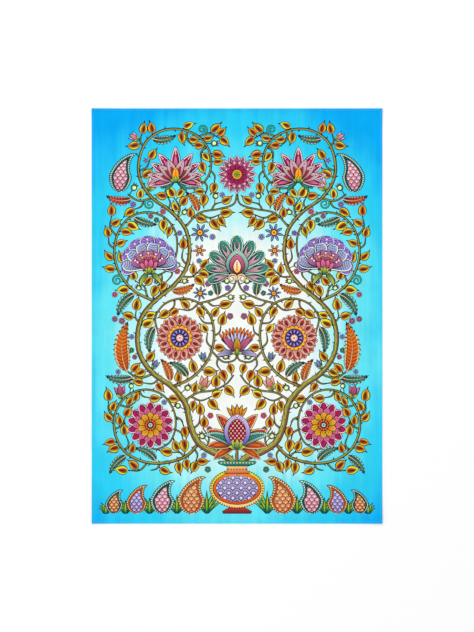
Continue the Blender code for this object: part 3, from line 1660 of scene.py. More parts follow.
    def run(self, stems: Sequence[Stem]) -> None:
        """Grows medium motifs and twigs on the stems, then clothes all of them.

        Args:
            stems: the vine and its branches.
        """
        for stem in stems:
            self.clothe(stem, self.medium, 46, 74, 0.5, both=False)
        for stem in stems:
            hand = 1
            for foot, way, wide in self.nodes(stem, 20, 31):
                node, half = (foot, way), wide / 2
                done = self.twig(node, hand, half) or self.twig(node, -hand, half)
                hand = -hand if done else hand
        for twig in self.twigs:
            self.crown(twig)
        for stem in (*self.twigs, *stems):
            self.clothe(stem, self.small, 15, 44, 0.6, both=False)
        for k, pitch in enumerate(self.leaf_pitches):
            for stem in (*self.twigs, *stems):
                self.clothe(stem, self.leaf, 9 + 4 * k, pitch, 0.8 + 0.5 * k)

    def scatter(self, most: int) -> None:
        """Sets florets in the gaps that are left, inside a rounded oblong.

        Args:
            most: how many at most.
        """
        low_x, high_x, low_y, high_y = self.ground.limit
        half_x, half_y = self.field_half
        set_so_far = 0
        for _ in range(self.floret_tries):
            x, y = self.chance.uniform(low_x, high_x), self.chance.uniform(low_y, high_y)
            near, far = self.pick(self.floret_tones)
            motif = floret(self.chance.uniform(*self.floret_radii), near, far)
            place = Placing(x, y, self.chance.uniform(0, 72))
            inside = (x / half_x) ** 3 + (abs(y - self.field_y) / half_y) ** 3 < 1
            if inside and set_so_far < most and self.ground.free(motif.circles(place), 2.4):
                self.ground.take(motif.circles(place))
                self.jobs.append((motif, place))
                set_so_far += 1

    def draw(self, cartoon: Cartoon) -> int:
        """Lays all that hangs on the stems, and returns how many leaves there are.

        Args:
            cartoon: the drawing that takes the shapes.

        Returns:
            How many of them are leaves.
        """
        for motif, place in self.jobs:
            motif.draw(cartoon, place)
        return sum(isinstance(motif, Leaf) for motif, _ in self.jobs)


@dataclass(frozen=True)
class ScrollPainting:
    """The whole painting: stems by table, flowers at their ends, growth between them."""

    edge_x: float = 327.0
    top: float = 478.0
    low: float = -392.0
    row_y: float = -484.0
    seed: int = 11
    florets: int = 30
    # Rooms that the vase's mouth takes: their places across, their height and their radius
    mouth_x: tuple[float, ...] = (0, 12, 24, 36, 48)
    mouth_y: float = -372.0
    mouth_room: float = 16.0
    vine: tuple[tuple[float, float, float], ...] = (
        (6, -366, 17.0), (24, -346, 16.6), (62, -332, 16.0), (96, -308, 15.4),
        (114, -268, 14.6), (127, -214, 13.6), (160, -173, 12.8), (206, -140, 12.0),
        (236, -98, 11.4), (244, -50, 11.0), (232, 0, 10.4), (200, 38, 10.0),
        (154, 76, 9.6), (125, 116, 9.2), (116, 164, 8.8), (127, 214, 8.4),
        (162, 256, 8.0), (209, 290, 7.6), (237, 334, 7.2), (240, 380, 6.8),
        (222, 427, 6.4), (182, 454, 6.0), (134, 456, 5.7), (89, 435, 5.4),
        (65, 393, 5.1), (69, 345, 4.8), (100, 315, 4.5), (140, 314, 4.2),
    )
    branches: tuple[tuple[tuple[float, float, float], ...], ...] = (
        (
            (92, -310, 8.0), (126, -344, 7.4), (182, -360, 7.0), (234, -355, 6.6),
            (277, -329, 6.2), (299, -285, 5.9), (297, -236, 5.6), (270, -196, 5.3),
            (226, -180, 5.0), (184, -192, 4.8), (157, -226, 4.6), (150, -268, 4.4),
            (164, -308, 4.2), (196, -326, 4.0), (212, -320, 4.0),
        ),
        (
            (160, -174, 7.4), (112, -152, 6.8), (74, -112, 6.3), (57, -62, 5.9),
            (62, -8, 5.5), (91, 30, 5.1), (134, 43, 4.8), (176, 30, 4.5),
            (200, -4, 4.2), (192, -44, 4.0),
        ),
        (
            (202, 36, 7.0), (250, 60, 6.5), (286, 102, 6.1), (300, 152, 5.7),
            (291, 204, 5.4), (261, 242, 5.1), (217, 254, 4.8), (176, 240, 4.6),
            (151, 206, 4.4), (147, 160, 4.2), (162, 120, 4.1), (194, 100, 4.0),
            (214, 104, 4.0),
        ),
        ((206, -142, 5.4), (240, -152, 4.8), (268, -136, 4.2)),
        ((209, 288, 5.2), (240, 282, 4.6), (268, 298, 4.2)),
        ((60, -88, 4.8), (34, -112, 4.4), (6, -108, 4.0), (0, -92, 4.0)),
        ((92, 31, 5.0), (52, 42, 4.6), (14, 62, 4.3), (0, 92, 4.2)),
        ((128, 216, 5.0), (92, 252, 4.6), (44, 262, 4.3), (8, 274, 4.1), (0, 300, 4.0)),
        ((130, -208, 5.4), (96, -188, 4.9), (58, -182, 4.5), (26, -166, 4.0), (8, -144, 3.6)),
    )

    def draw(self) -> Cartoon:
        """Lays the whole painting.

        Returns:
            The finished cartoon.
        """
        cartoon = Cartoon()
        ground = Ground((5.0, self.edge_x, self.low, self.top))
        stems = [Stem(rows, thorns=k < 3) for k, rows in enumerate(self.branches)]
        stems.append(Stem(self.vine, thorns=True))
        beside = (
            (MARIGOLD, Placing(212, -322, 0, 1.0)),
            (ROSETTE, Placing(140, -112, 0, 1.02)),
            (PEONY, Placing(214, 106, -4, 1.06)),
            (LOTUS, Placing(150, 330, 0, 0.92)),
            (SawLeaf(bend=-0.9), Placing(270, -136, -24)),
            (Boteh(104, 56, Dye.PINE, Dye.TEAL_PALE, Dye.MAGENTA, Dye.PINK_PALE, 13.0),
             Placing(288, 304, 4, 1.0, True)),
        )
        middle = (
            (POMEGRANATE, Placing(0, -322, 0, 0.98)),
            (TULIP, Placing(0, -92, 0, 0.92)),
            (PALMETTE, Placing(0, 92, 0, 1.0)),
            (ASTER, Placing(0, 300, 0, 0.86)),
        )
        for stem in stems:
            ground.take(stem.circles())
        for flower, place in (*beside, *middle):
            ground.take(flower.circles(place))
        ground.take([(x, self.mouth_y, self.mouth_room) for x in self.mouth_x])
        growth = Growth(ground, self.seed)
        growth.run(stems)
        growth.scatter(self.florets)
        for stem in (*growth.twigs, *stems):
            stem.draw(cartoon)
        leaves = growth.draw(cartoon)
        for flower, place in beside:
            flower.draw(cartoon, place)
        cartoon.mirror(0)
        Stem(((0, -362, 8.0), (0, -340, 7.0), (0, -318, 6.4))).draw(cartoon)
        for flower, place in middle:
            flower.draw(cartoon, place)
        self.draw_row(cartoon)
        LOG.info("cartoon: %d shapes, %d leaves", len(cartoon.patches), 2 * leaves)
        return cartoon

    def draw_row(self, cartoon: Cartoon) -> None:
        """Lays the vase and the row of paisleys along the foot, with tufts between them.

        Args:
            cartoon: the drawing that takes the shapes.
        """
        row = (
            (112, Boteh(96, 68, Dye.RUST, Dye.SAND, Dye.RED, Dye.SAND, 14.0)),
            (183, Boteh(86, 60, Dye.PINE, Dye.TEAL_PALE, Dye.MAGENTA, Dye.PINK_PALE, 13.0)),
            (246, Boteh(74, 52, Dye.RUST, Dye.SAND, Dye.VIOLET, Dye.LILAC_PALE, 12.0)),
            (301, Boteh(62, 44, Dye.PINE, Dye.TEAL_PALE, Dye.RED, Dye.SAND, 11.0)),
        )
        first = len(cartoon.patches)
        for x, high in ((74, 84), (147, 70), (214, 60), (273, 50), (321, 34)):
            tuft(6, high, 36).draw(cartoon, Placing(x, self.row_y, 0))
        for x, paisley in row:
            paisley.draw(cartoon, Placing(x, self.row_y + 1, 0, 1.0, True))
        cartoon.mirror(first)
        Vase().draw(cartoon, Placing(0, self.row_y))


@dataclass(frozen=True)
class Hem:
    """The section of the turned hem: how high the cloth's face stands at a distance from its edge."""

    thin: float = 0.0010
    rise: float = 0.0007
    round_in: float = 0.0011
    flat_to: float = 0.0060
    gone_at: float = 0.0077
    edge_share: float = 0.12
    under_round: float = 0.0005

    def share(self, inset: Points) -> Points:
        """The share of the hem's rise at distances from one edge, in metres.

        Args:
            inset: the distances, in metres.

        Returns:
            The shares, from 0 to 1.
        """
        up = np.clip(inset / self.round_in, 0, 1)
        start = self.edge_share + (1 - self.edge_share) * np.sqrt(np.clip(1 - (1 - up) ** 2, 0, 1))
        down = np.clip((inset - self.flat_to) / (self.gone_at - self.flat_to), 0, 1)
        return start * (1 - down * down * (3 - 2 * down))

    def face(self, inset_x: Points, inset_y: Points) -> Points:
        """The height of the cloth's face over its underside."""
        return self.thin + self.rise * (self.share(inset_x) + self.share(inset_y))

    def under(self, inset: Points) -> Points:
        """How far the underside's rim is rounded up, by the distance from the nearest edge."""
        gap = np.clip(1 - inset / self.under_round, 0, 1)
        return self.under_round * 0.6 * (1 - np.sqrt(np.clip(1 - gap**2, 0, 1)))


@dataclass(frozen=True)
class Ease:
    """The slight unevenness of cotton laid flat by hand: soft ridges and lifted corners."""

    ridges: tuple[tuple[float, ...], ...] = (
        (-0.210, 0.330, 58, 0.240, 0.034, 0.0016),
        (0.240, 0.120, -72, 0.260, 0.030, 0.0014),
        (-0.120, -0.140, 15, 0.300, 0.038, 0.0014),
        (0.150, -0.360, 40, 0.200, 0.030, 0.0016),
        (-0.290, -0.330, -35, 0.170, 0.026, 0.0015),
        (0.060, 0.430, -12, 0.190, 0.028, 0.0014),
    )
    corners: tuple[tuple[float, ...], ...] = (
        (-0.3556, 0.508, 0.090, 0.0026),
        (0.3556, 0.508, 0.070, 0.0018),
        (-0.3556, -0.508, 0.065, 0.0014),
        (0.3556, -0.508, 0.100, 0.0030),
    )

    def lift(self, x: Points, y: Points) -> Points:
        """How far the cloth stands off the surface under it, in metres.

        Args:
            x: places across the cloth, in metres.
            y: places up the cloth.

        Returns:
            The heights, in metres.
        """
        total = np.zeros_like(x)
        for mid_x, mid_y, turn, long, wide, high in self.ridges:
            a = math.radians(turn)
            along = (x - mid_x) * math.cos(a) + (y - mid_y) * math.sin(a)
            across = (y - mid_y) * math.cos(a) - (x - mid_x) * math.sin(a) + 0.10 * along**2 / long
            total += high * np.exp(-4 * (along / long) ** 2 - (across / wide) ** 2)
        for mid_x, mid_y, reach, high in self.corners:
            far = np.hypot(x - mid_x, y - mid_y) / reach
            total += high * np.clip(1 - far, 0, 1) ** 2
        return total


@dataclass
class FlatMesh:
    """One side of the cloth as a flat mesh: points in mm, triangles, and each one's shape."""

    points: Points
    triangles: NDArray
    owner: NDArray
    patches: list[Patch]

    def paint(self) -> tuple[Points, Points]:
        """The dye and the pen numbers at each corner of each triangle.

        Returns:
            Colours with cover, and pen line numbers with their strength.
        """
        dye = np.zeros((len(self.owner), 3, 4))
        pen = np.zeros((len(self.owner), 3, 3))
        order = np.argsort(self.owner, kind="stable")
        cuts = np.flatnonzero(np.diff(self.owner[order])) + 1
        for group in np.split(order, cuts):
            number = self.owner[group[0]]
            if number >= 0:
                corners = self.points[self.triangles[group]]
                dye[group], pen[group] = self.patches[number].paint(corners)
        return dye, pen


@dataclass(frozen=True)
class Mosaic:
    """Turns shapes laid over each other into one flat mesh that shows the uppermost."""

    half_x: float
    half_y: float
    grid: float = 17.0
    rim_step: float = 20.0
    section: tuple[float, ...] = (0.0, 0.25, 0.6, 1.2, 3.5, 5.9, 6.5, 7.1, 7.8, 11.0)
    insets: tuple[float, ...] = section
    near: float = 0.012
    straight: float = 0.085

    def rim(self, inset: float) -> Points:
        """A loop of evenly spaced points at this distance inside the cloth's edge, in mm.

        Args:
            inset: the distance from the edge.

        Returns:
            The loop's points.
        """
        x, y = self.half_x - inset, self.half_y - inset
        across, up = self.stops(self.half_x, inset), self.stops(self.half_y, inset)
        front, right = (across, across * 0 - y), (up * 0 + x, up)
        back, left = (-across, across * 0 + y), (up * 0 - x, -up)
        return np.vstack([np.stack(side, axis=1) for side in (front, right, back, left)])

    def stops(self, half: float, inset: float) -> Points:
        """Places along one side of a rim, close together where two hems cross.

        Args:
            half: half the cloth's size along this side.
            inset: the rim's distance from the edge.

        Returns:
            The places, in order.
        """
        ends = np.array([half - depth for depth in self.section if depth >= inset])
        reach = ends[-1]
        even = np.linspace(-reach, reach, round(2 * reach / self.rim_step) + 1)
        return np.concatenate([-ends, even[1:-1], ends[:0:-1]])

    def open_grid(self, taken: Points) -> Points:
        """Grid points over the cloth, without those near a point that is there already.

        Args:
            taken: the points that are there.

        Returns:
            The grid points.
        """
        x, y = self.half_x - self.grid, self.half_y - self.grid
        xs = np.linspace(-x, x, round(2 * x / self.grid) + 1)
        ys = np.linspace(-y, y, round(2 * y / self.grid) + 1)
        cell = 0.8 * self.grid
        used = {tuple(spot) for spot in np.floor(taken / cell).astype(int)}
        spots = [(px, py) for py in ys for px in xs
                 if (math.floor(px / cell), math.floor(py / cell)) not in used]
        return np.array(spots).reshape(-1, 2)

    def cut(self, points: Points, edges: Sequence[tuple[int, int]]) -> tuple[Points, NDArray]:
        """Triangles between points, with the edges kept."""
        found = delaunay_2d_cdt([Vector(p) for p in points], edges, [], 0, self.near, False)
        return np.array([tuple(v) for v in found[0]]), np.array(found[2])

    @staticmethod
    def owners(patches: Sequence[Patch], at: Points) -> NDArray:
        """The number of the shape that shows at each place, or -1.

        Args:
            patches: the shapes in the order in which they were laid.
            at: the places.

        Returns:
            The shapes' numbers.
        """
        order = np.argsort(at[:, 0])
        sorted_x = at[order, 0]
        owner = np.full(len(at), -1)
        for k, patch in enumerate(patches):
            low, high = patch.loop.min(axis=0), patch.loop.max(axis=0)
            first, last = np.searchsorted(sorted_x, (low[0], high[0]))
            spots = order[first:last]
            spots = spots[(at[spots, 1] >= low[1]) & (at[spots, 1] <= high[1])]
            spots = spots[winding(patch.loop, at[spots])]
            if patch.clip >= 0:
                spots = spots[winding(patches[patch.clip].loop, at[spots])]
            owner[spots] = k
        return owner

    @staticmethod
    def seen_edges(triangles: NDArray, owner: NDArray) -> NDArray:
        """The edges between triangles of different shapes.

        Args:
            triangles: the triangles.
            owner: the shape of each triangle.

        Returns:
            Pairs of point numbers.
        """
        sides = np.vstack([triangles[:, [0, 1]], triangles[:, [1, 2]], triangles[:, [2, 0]]])
        whose = np.tile(owner, 3)
        sides.sort(axis=1)
        order = np.lexsort((sides[:, 1], sides[:, 0]))
        sides, whose = sides[order], whose[order]
        same = (sides[1:] == sides[:-1]).all(axis=1) & (whose[1:] != whose[:-1])
        return sides[1:][same]

    def straightened(self, points: Points, edges: NDArray) -> list[tuple[int, int]]:
        """The edges without the points that lie on a straight run of them.

        Args:
            points: all points.
            edges: pairs of point numbers.

        Returns:
            The pairs that are left.
        """
        links: dict[int, set[int]] = {}
        for a, b in edges.tolist():
            links.setdefault(a, set()).add(b)
            links.setdefault(b, set()).add(a)
        places = points.tolist()
        for spot in list(links):
            if len(links[spot]) != 2:
                continue
            a, b = links[spot]
            (px, py), (ax, ay), (bx, by) = places[spot], places[a], places[b]
            long = math.hypot(bx - ax, by - ay)
            off = abs((bx - ax) * (py - ay) - (by - ay) * (px - ax)) / max(long, 1e-9)
            if b not in links[a] and off < self.straight:
                links[a].remove(spot)
                links[b].remove(spot)
                links[a].add(b)
                links[b].add(a)
                del links[spot]
        return [(a, b) for a, others in links.items() for b in others if a < b]

    @staticmethod
    def joined(loops: Sequence[Points]) -> tuple[Points, list[tuple[int, int]]]:
        """The points of closed loops, and the edges between them.

        Args:
            loops: the loops.

        Returns:
            All points, and pairs of their numbers.
        """
        edges, first = [], 0
        for loop in loops:
            numbers = range(first, first + len(loop))
            edges += [*zip(numbers, numbers[1:]), (numbers[-1], first)]
            first += len(loop)
        return np.vstack(loops), edges

    def build(self, patches: list[Patch]) -> FlatMesh:
        """Lays the shapes, finds what shows of them, and cuts the cloth along it.

        Args:
            patches: the shapes in the order in which they were laid.

        Returns:
            The flat mesh.
        """
        points, triangles = self.cut(*self.joined([patch.loop for patch in patches]))
        owner = self.owners(patches, points[triangles].mean(axis=1))
        kept = self.straightened(points, self.seen_edges(triangles, owner))
        used = sorted({spot for edge in kept for spot in edge})
        rims, edges = self.joined([self.rim(inset) for inset in self.insets])
        numbers = {spot: len(rims) + k for k, spot in enumerate(used)}
        edges += [(numbers[a], numbers[b]) for a, b in kept]
        rows = np.vstack([rims, points[used]])
        points, triangles = self.cut(np.vstack([rows, self.open_grid(rows)]), edges)
        owner = self.owners(patches, points[triangles].mean(axis=1))
        return FlatMesh(points, triangles, owner, patches)


@dataclass
class Cloth:
    """The cloth's mesh: the painted face, the underside, the hems and the ease."""

    width: float
    length: float
    hem: Hem = Hem()
    ease: Ease = Ease()
    slope_step: float = 0.0001
    # How near the edge a point is on the rim, and how far the normals lean out there
    rim_reach: float = 0.00005
    rim_lean: float = 1.6
    # Where the flat map's strips begin and how wide they are, as shares of the map
    map_face: tuple[float, float] = (0.004, 0.742)
    map_under: tuple[float, float] = (0.754, 0.242)
    map_wall: float = 0.748
    map_up: tuple[float, float] = (0.004, 0.992)

    def heights(self, flat: Points) -> tuple[Points, Points]:
        """The face's and the underside's height at places in metres.

        Args:
            flat: the places.

        Returns:
            The heights of the face, and of the underside.
        """
        inset_x = np.maximum(self.width / 2 - np.abs(flat[:, 0]), 0)
        inset_y = np.maximum(self.length / 2 - np.abs(flat[:, 1]), 0)
        lift = self.ease.lift(flat[:, 0], flat[:, 1])
        under = lift + self.hem.under(np.minimum(inset_x, inset_y))
        return lift + self.hem.face(inset_x, inset_y), under

    def normals(self, flat: Points, side: int) -> Points:
        """The unit normals of one side, 0 for the face and 1 for the underside.

        Args:
            flat: the places, in metres.
            side: 0 for the face and 1 for the underside.

        Returns:
            One normal for each place.
        """
        step, slopes = self.slope_step, []
        for shift in ((step, 0.0), (0.0, step)):
            rise = self.heights(flat + shift)[side] - self.heights(flat - shift)[side]
            slopes.append(rise / (2 * step))
        up = 1.0 if side == 0 else -1.0
        found = np.stack([-slopes[0] * up, -slopes[1] * up, np.full(len(flat), up)], axis=1)
        for axis, half in ((0, self.width / 2), (1, self.length / 2)):
            at_edge = half - np.abs(flat[:, axis]) < self.rim_reach
            found[at_edge, axis] = np.sign(flat[at_edge, axis]) * self.rim_lean
        return found / np.linalg.norm(found, axis=1, keepdims=True)

    def build(self, cartoon: Cartoon) -> bpy.types.Object:
        """Makes the closed cloth, with its dye and pen attributes.

        Args:
            cartoon: the finished painting.

        Returns:
            The cloth, with the face in material slot 0 and the underside in slot 1.
        """
        mosaic = Mosaic(self.width / MM / 2, self.length / MM / 2)
        face = mosaic.build(cartoon.patches)
        soaked = [replace(p, clip=-1, pen=NO_PEN) for p in cartoon.patches if p.main]
        under = replace(mosaic, insets=(0.0, 0.25, 0.6, 11.0), straight=0.60).build(soaked)
        flat_face, flat_under = face.points * MM, under.points * MM
        top = np.column_stack([flat_face, self.heights(flat_face)[0]])
        bottom = np.column_stack([flat_under, self.heights(flat_under)[1]])
        around = np.arange(len(mosaic.rim(0.0)))
        after, shift = np.roll(around, -1), len(top)
        wall = np.vstack([
            np.stack([around + shift, after + shift, after], axis=1),
            np.stack([around + shift, after, around], axis=1),
        ])
        triangles = np.vstack([face.triangles, under.triangles[:, ::-1] + shift, wall])
        (dye_face, pen_face), (dye_under, pen_under) = face.paint(), under.paint()
        blank = np.zeros((len(wall), 3, 4))
        dye = np.vstack([dye_face, dye_under[:, ::-1], blank])
        pen = np.vstack([pen_face, pen_under[:, ::-1], blank[..., :3]])
        counts = (len(face.triangles), len(under.triangles), len(wall))
        mesh = self.plain_mesh(np.vstack([top, bottom]), triangles)
        mesh.polygons.foreach_set("material_index", np.repeat((0, 1, 0), counts).astype(np.int32))
        self.write(mesh, "dye", "FLOAT_COLOR", "color", dye)
        self.write(mesh, "pen", "FLOAT_VECTOR", "vector", pen)
        self.bake_map(mesh, np.vstack([top, bottom])[triangles], np.repeat((0, 1, 2), counts))
        mesh.shade_smooth()
        normals = np.vstack([self.normals(flat_face, 0), self.normals(flat_under, 1)])
        mesh.normals_split_custom_set_from_vertices(normals.tolist())
        LOG.info("cloth: %d faces on the face, %d on the underside", *counts[:2])
        return placed("painted_cloth", mesh)

    @staticmethod
    def plain_mesh(points: Points, triangles: NDArray) -> bpy.types.Mesh:
        """A mesh of triangles.

        Args:
            points: the points, in metres.
            triangles: their numbers by threes.

        Returns:
            The mesh.
        """
        mesh = bpy.data.meshes.new("painted_cloth")
        mesh.vertices.add(len(points))
        mesh.vertices.foreach_set("co", points.astype(np.float32).ravel())
        mesh.loops.add(triangles.size)
        mesh.loops.foreach_set("vertex_index", triangles.astype(np.int32).ravel())
        mesh.polygons.add(len(triangles))
        mesh.polygons.foreach_set("loop_start", np.arange(0, triangles.size, 3, dtype=np.int32))
        mesh.update(calc_edges=True)
        return mesh

    @staticmethod
    def write(mesh: bpy.types.Mesh, name: str, kind: str, part: str, values: Points) -> None:
        """Writes one value for each face corner."""
        attribute = mesh.attributes.new(name, kind, "CORNER")
        attribute.data.foreach_set(part, values.astype(np.float32).ravel())

    def bake_map(self, mesh: bpy.types.Mesh, corners: Points, part: NDArray) -> None:
        """Gives the cloth a flat map: broad for the face, narrow for the underside and the edge.

        Args:
            mesh: the cloth's mesh.
            corners: triangles by corners by place.
            part: for each triangle, 0 on the face, 1 on the underside and 2 on the edge.
        """
        across = corners[..., 0] / self.width + 0.5
        up = corners[..., 1] / self.length + 0.5
        kind = np.broadcast_to(part[:, None], across.shape)
        on_face, on_under = (first + wide * across for first, wide in (self.map_face, self.map_under))
        u = np.where(kind == 0, on_face, on_under)
        u = np.where(kind == 2, self.map_wall + corners[..., 2], u)
        v = self.map_up[0] + self.map_up[1] * np.where(kind == 2, (up + across) / 2, up)
        layer = mesh.uv_layers.new(name="OFBake")
        layer.uv.foreach_set("vector", np.stack([u, v], axis=-1).astype(np.float32).ravel())


class NodeBench:
    """Places and links shader nodes in one tree."""

    def __init__(self, tree: bpy.types.NodeTree) -> None:
        """Starts on a tree.

        Args:
            tree: the material's or group's node tree.
        """
        self.tree = tree
        self.count = 0

    def node(self, kind: str, **settings: object) -> bpy.types.Node:
        """A new node with these settings.

        Args:
            kind: the node's kind.
            settings: its settings by name.

        Returns:
            The node.
        """
        made = self.tree.nodes.new(kind)
        made.location = (180 * (self.count % 12), -220 * (self.count // 12))
        self.count += 1
        for name, value in settings.items():
            setattr(made, name, value)
        return made

    def put(self, value: object, socket: bpy.types.NodeSocket) -> None:
        """Links an output to a socket, or sets the socket's own value.

        Args:
            value: the output or the value.
            socket: the input that takes it.
        """
        if isinstance(value, bpy.types.NodeSocket):
            self.tree.links.new(value, socket)
        else:
            socket.default_value = value

    def feed(self, node: bpy.types.Node, **values: object) -> bpy.types.Node:
        """Links outputs to a node's inputs, or sets the inputs' own values.

        Args:
            node: the node.
            values: outputs or values by the input's name, with _ for a space.

        Returns:
            The same node.
        """
        for name, value in values.items():
            self.put(value, node.inputs[name.replace("_", " ")])
        return node

    def fed(self, kind: str, **values: object) -> bpy.types.Node:
        """A new node with its inputs fed."""
        return self.feed(self.node(kind), **values)

    def math(self, operation: str, *values: object, clamp: bool = False) -> bpy.types.NodeSocket:
        """The result of one sum.

        Args:
            operation: what is worked out.
            values: outputs or numbers.
            clamp: whether the result is kept from 0 to 1.

        Returns:
            The result.
        """
        made = self.node("ShaderNodeMath", operation=operation, use_clamp=clamp)
        for socket, value in zip(made.inputs, values):
            self.put(value, socket)
        return made.outputs[0]

    def mix(self, share: object, first: object, second: object) -> bpy.types.NodeSocket:
        """Two colours mixed.

        Args:
            share: the second colour's share.
            first: the first colour.
            second: the second colour.

        Returns:
            The mixed colour.
        """
        made = self.node("ShaderNodeMix", data_type="RGBA")
        for number, value in ((0, share), (6, first), (7, second)):
            self.put(value, made.inputs[number])
        return made.outputs[2]

    def toned(self, colour: object, tone: bpy.types.NodeSocket) -> bpy.types.NodeSocket:
        """A colour made lighter or darker by a tone near 1."""
        made = self.node("ShaderNodeVectorMath", operation="SCALE")
        return self.feed(made, Vector=colour, Scale=tone).outputs[0]

    def noise(self, vector: object, scale: float, detail: float = 2.0, rough: float = 0.5,
              stretch: tuple[float, float, float] | None = None) -> bpy.types.NodeSocket:
        """Noise about 0, from -0.5 to 0.5, stretched along the axes where it is asked for.

        Args:
            vector: the place on the piece.
            scale: how fine the noise is.
            detail: how many finer layers it has.
            rough: how strong they are.
            stretch: what the place is multiplied by first.

        Returns:
            The noise.
        """
        if stretch:
            moved = self.fed("ShaderNodeMapping", Vector=vector, Scale=stretch)
            vector = moved.outputs["Vector"]
        made = self.fed("ShaderNodeTexNoise", Vector=vector, Scale=scale, Detail=detail,
                        Roughness=rough)
        return self.math("SUBTRACT", made.outputs["Fac"], 0.5)

    def split(self, vector: object) -> tuple[bpy.types.NodeSocket, bpy.types.NodeSocket]:
        """The first two parts of a vector."""
        made = self.fed("ShaderNodeSeparateXYZ", Vector=vector)
        return made.outputs["X"], made.outputs["Y"]

    def group(self, tree: bpy.types.NodeTree, **values: object) -> bpy.types.Node:
        """A group placed in this tree, with its inputs fed."""
        return self.feed(self.node("ShaderNodeGroup", node_tree=tree), **values)

    def move(self, value: object, source: tuple[float, float],
             target: tuple[float, float]) -> bpy.types.NodeSocket:
        """A value moved from one range to another, and kept in it."""
        made = self.fed("ShaderNodeMapRange", Value=value, From_Min=source[0],
                        From_Max=source[1], To_Min=target[0], To_Max=target[1])
        return made.outputs["Result"]


def new_group(
    name: str, inputs: dict[str, float | None], output: dict[str, str]
) -> tuple[NodeBench, bpy.types.Node, bpy.types.Node]:
    """Starts a shader node group.

    Args:
        name: the group's name.
        inputs: input names with their first values; None makes a vector input.
        output: output names with their socket kinds.

    Returns:
        The bench, the group's input node and its output node.
    """
    tree = bpy.data.node_groups.new(name, "ShaderNodeTree")
    for label, value in inputs.items():
        kind = "NodeSocketVector" if value is None else "NodeSocketFloat"
        socket = tree.interface.new_socket(name=label, in_out="INPUT", socket_type=kind)
        if value is not None:
            socket.default_value = value
    for label, kind in output.items():
        tree.interface.new_socket(name=label, in_out="OUTPUT", socket_type=kind)
    bench = NodeBench(tree)
    return bench, bench.node("NodeGroupInput"), bench.node("NodeGroupOutput")


def weave_group() -> bpy.types.NodeTree:
    """Plain weave: warp and weft pass over and under, with uneven yarns.

    Returns:
        The group's tree.
    """
    bench, given, out = new_group(
        "plain_weave", {"Vector": None, "Pitch": 0.0006, "Uneven": 0.5},
        {"Height": "NodeSocketFloat", "Shade": "NodeSocketFloat"},
    )
    vector, pitch = given.outputs["Vector"], given.outputs["Pitch"]
    across, up = bench.split(vector)
    wander = bench.math("MULTIPLY", bench.noise(vector, 26.0, 3.0), 0.0022)
    x = bench.math("DIVIDE", bench.math("ADD", across, wander), pitch)
    y = bench.math("DIVIDE", bench.math("SUBTRACT", up, wander), pitch)
    yarns = []
    sets = ((x, y, 0.5, (1500.0, 34.0, 1.0)), (y, x, -0.5, (34.0, 1500.0, 1.0)))
    for first, second, swing, stretch in sets:
        back = bench.math("ABSOLUTE", bench.math("SINE", bench.math("MULTIPLY", first, math.pi)))
        back = bench.math("POWER", back, 0.6)
        row = bench.math("ADD", second, bench.math("FLOOR", first))
        over = bench.math("SINE", bench.math("MULTIPLY", row, math.pi))
        yarn = bench.math("MULTIPLY", back, bench.math("MULTIPLY_ADD", over, swing, 0.5))
        slub = bench.noise(vector, 1.0, 2.0, 0.5, stretch)
        yarns.append((yarn, bench.math("MULTIPLY", yarn, slub)))
    height = bench.math("MAXIMUM", yarns[0][0], yarns[1][0])
    slubs = bench.math("ADD", yarns[0][1], yarns[1][1])
    uneven = bench.math("MULTIPLY", slubs, given.outputs["Uneven"])
    # The shade is the same height as the relief; the cotton uses it to paint shade into the weave's
    # hollows and highlight onto the yarn tops
    bench.feed(out, Height=bench.math("ADD", height, uneven),
               Shade=bench.math("ADD", height, uneven))
    return bench.tree


def wash_group() -> bpy.types.NodeTree:
    """Uneven dye: broad pools, brush streaks down the cloth and fine grain, as a tone near 1.

    Returns:
        The group's tree.
    """
    bench, given, out = new_group(
        "uneven_wash", {"Vector": None, "Pools": 0.24, "Streaks": 0.18, "Grain": 0.12},
        {"Tone": "NodeSocketFloat"},
    )
    vector = given.outputs["Vector"]
    total: object = 1.0
    layers = (("Pools", 16.0, None), ("Streaks", 1.0, (90.0, 7.0, 1.0)), ("Grain", 620.0, None))
    for name, scale, stretch in layers:
        cloud = bench.noise(vector, scale, 3.0, 0.6, stretch)
        total = bench.math("MULTIPLY_ADD", cloud, given.outputs[name], total)
    bench.feed(out, Tone=total)
    return bench.tree


def sky_group() -> bpy.types.NodeTree:
    """The ground: azure at the cloth's corners, through turquoise, to a pale middle.

    Returns:
        The group's tree.
    """
    bench, given, out = new_group(
        "sky_ground", {"Vector": None, "Half Width": 0.385, "Half Length": 0.497, "Lowered": 0.055},
        {"Color": "NodeSocketColor"},
    )
    vector = given.outputs["Vector"]
    across, up = bench.split(vector)
    sums: object = 0.0
    for place, half in (
        (across, given.outputs["Half Width"]),
        (bench.math("ADD", up, given.outputs["Lowered"]), given.outputs["Half Length"]),
    ):
        share = bench.math("ABSOLUTE", bench.math("DIVIDE", place, half))
        sums = bench.math("ADD", bench.math("POWER", share, 2.3), sums)
    far = bench.math("SQRT", sums)
    clouds = bench.noise(vector, 5.0, 3.0, 0.55)
    far = bench.math("MULTIPLY_ADD", clouds, 0.34, far)
    strokes = bench.noise(vector, 1.0, 3.0, 0.5, (48.0, 3.0, 1.0))
    far = bench.math("MULTIPLY_ADD", strokes, 0.22, far)
    band = bench.node("ShaderNodeValToRGB")
    band.color_ramp.interpolation = "EASE"
    stops = (
        (0.28, (0.880, 0.910, 0.870)),
        (0.43, (0.450, 0.860, 0.880)),
        (0.57, (0.120, 0.760, 0.880)),
        (0.76, (0.024, 0.600, 0.870)),
        (0.98, (0.001, 0.390, 0.870)),
    )
    while len(band.color_ramp.elements) < len(stops):
        band.color_ramp.elements.new(0.5)
    for element, (place, colour) in zip(band.color_ramp.elements, stops):
        element.position = place
        element.color = (*colour, 1.0)
    bench.feed(band, Fac=bench.move(far, (0.0, 1.35), (0.0, 1.0)))
    bench.feed(out, Color=band.outputs["Color"])
    return bench.tree


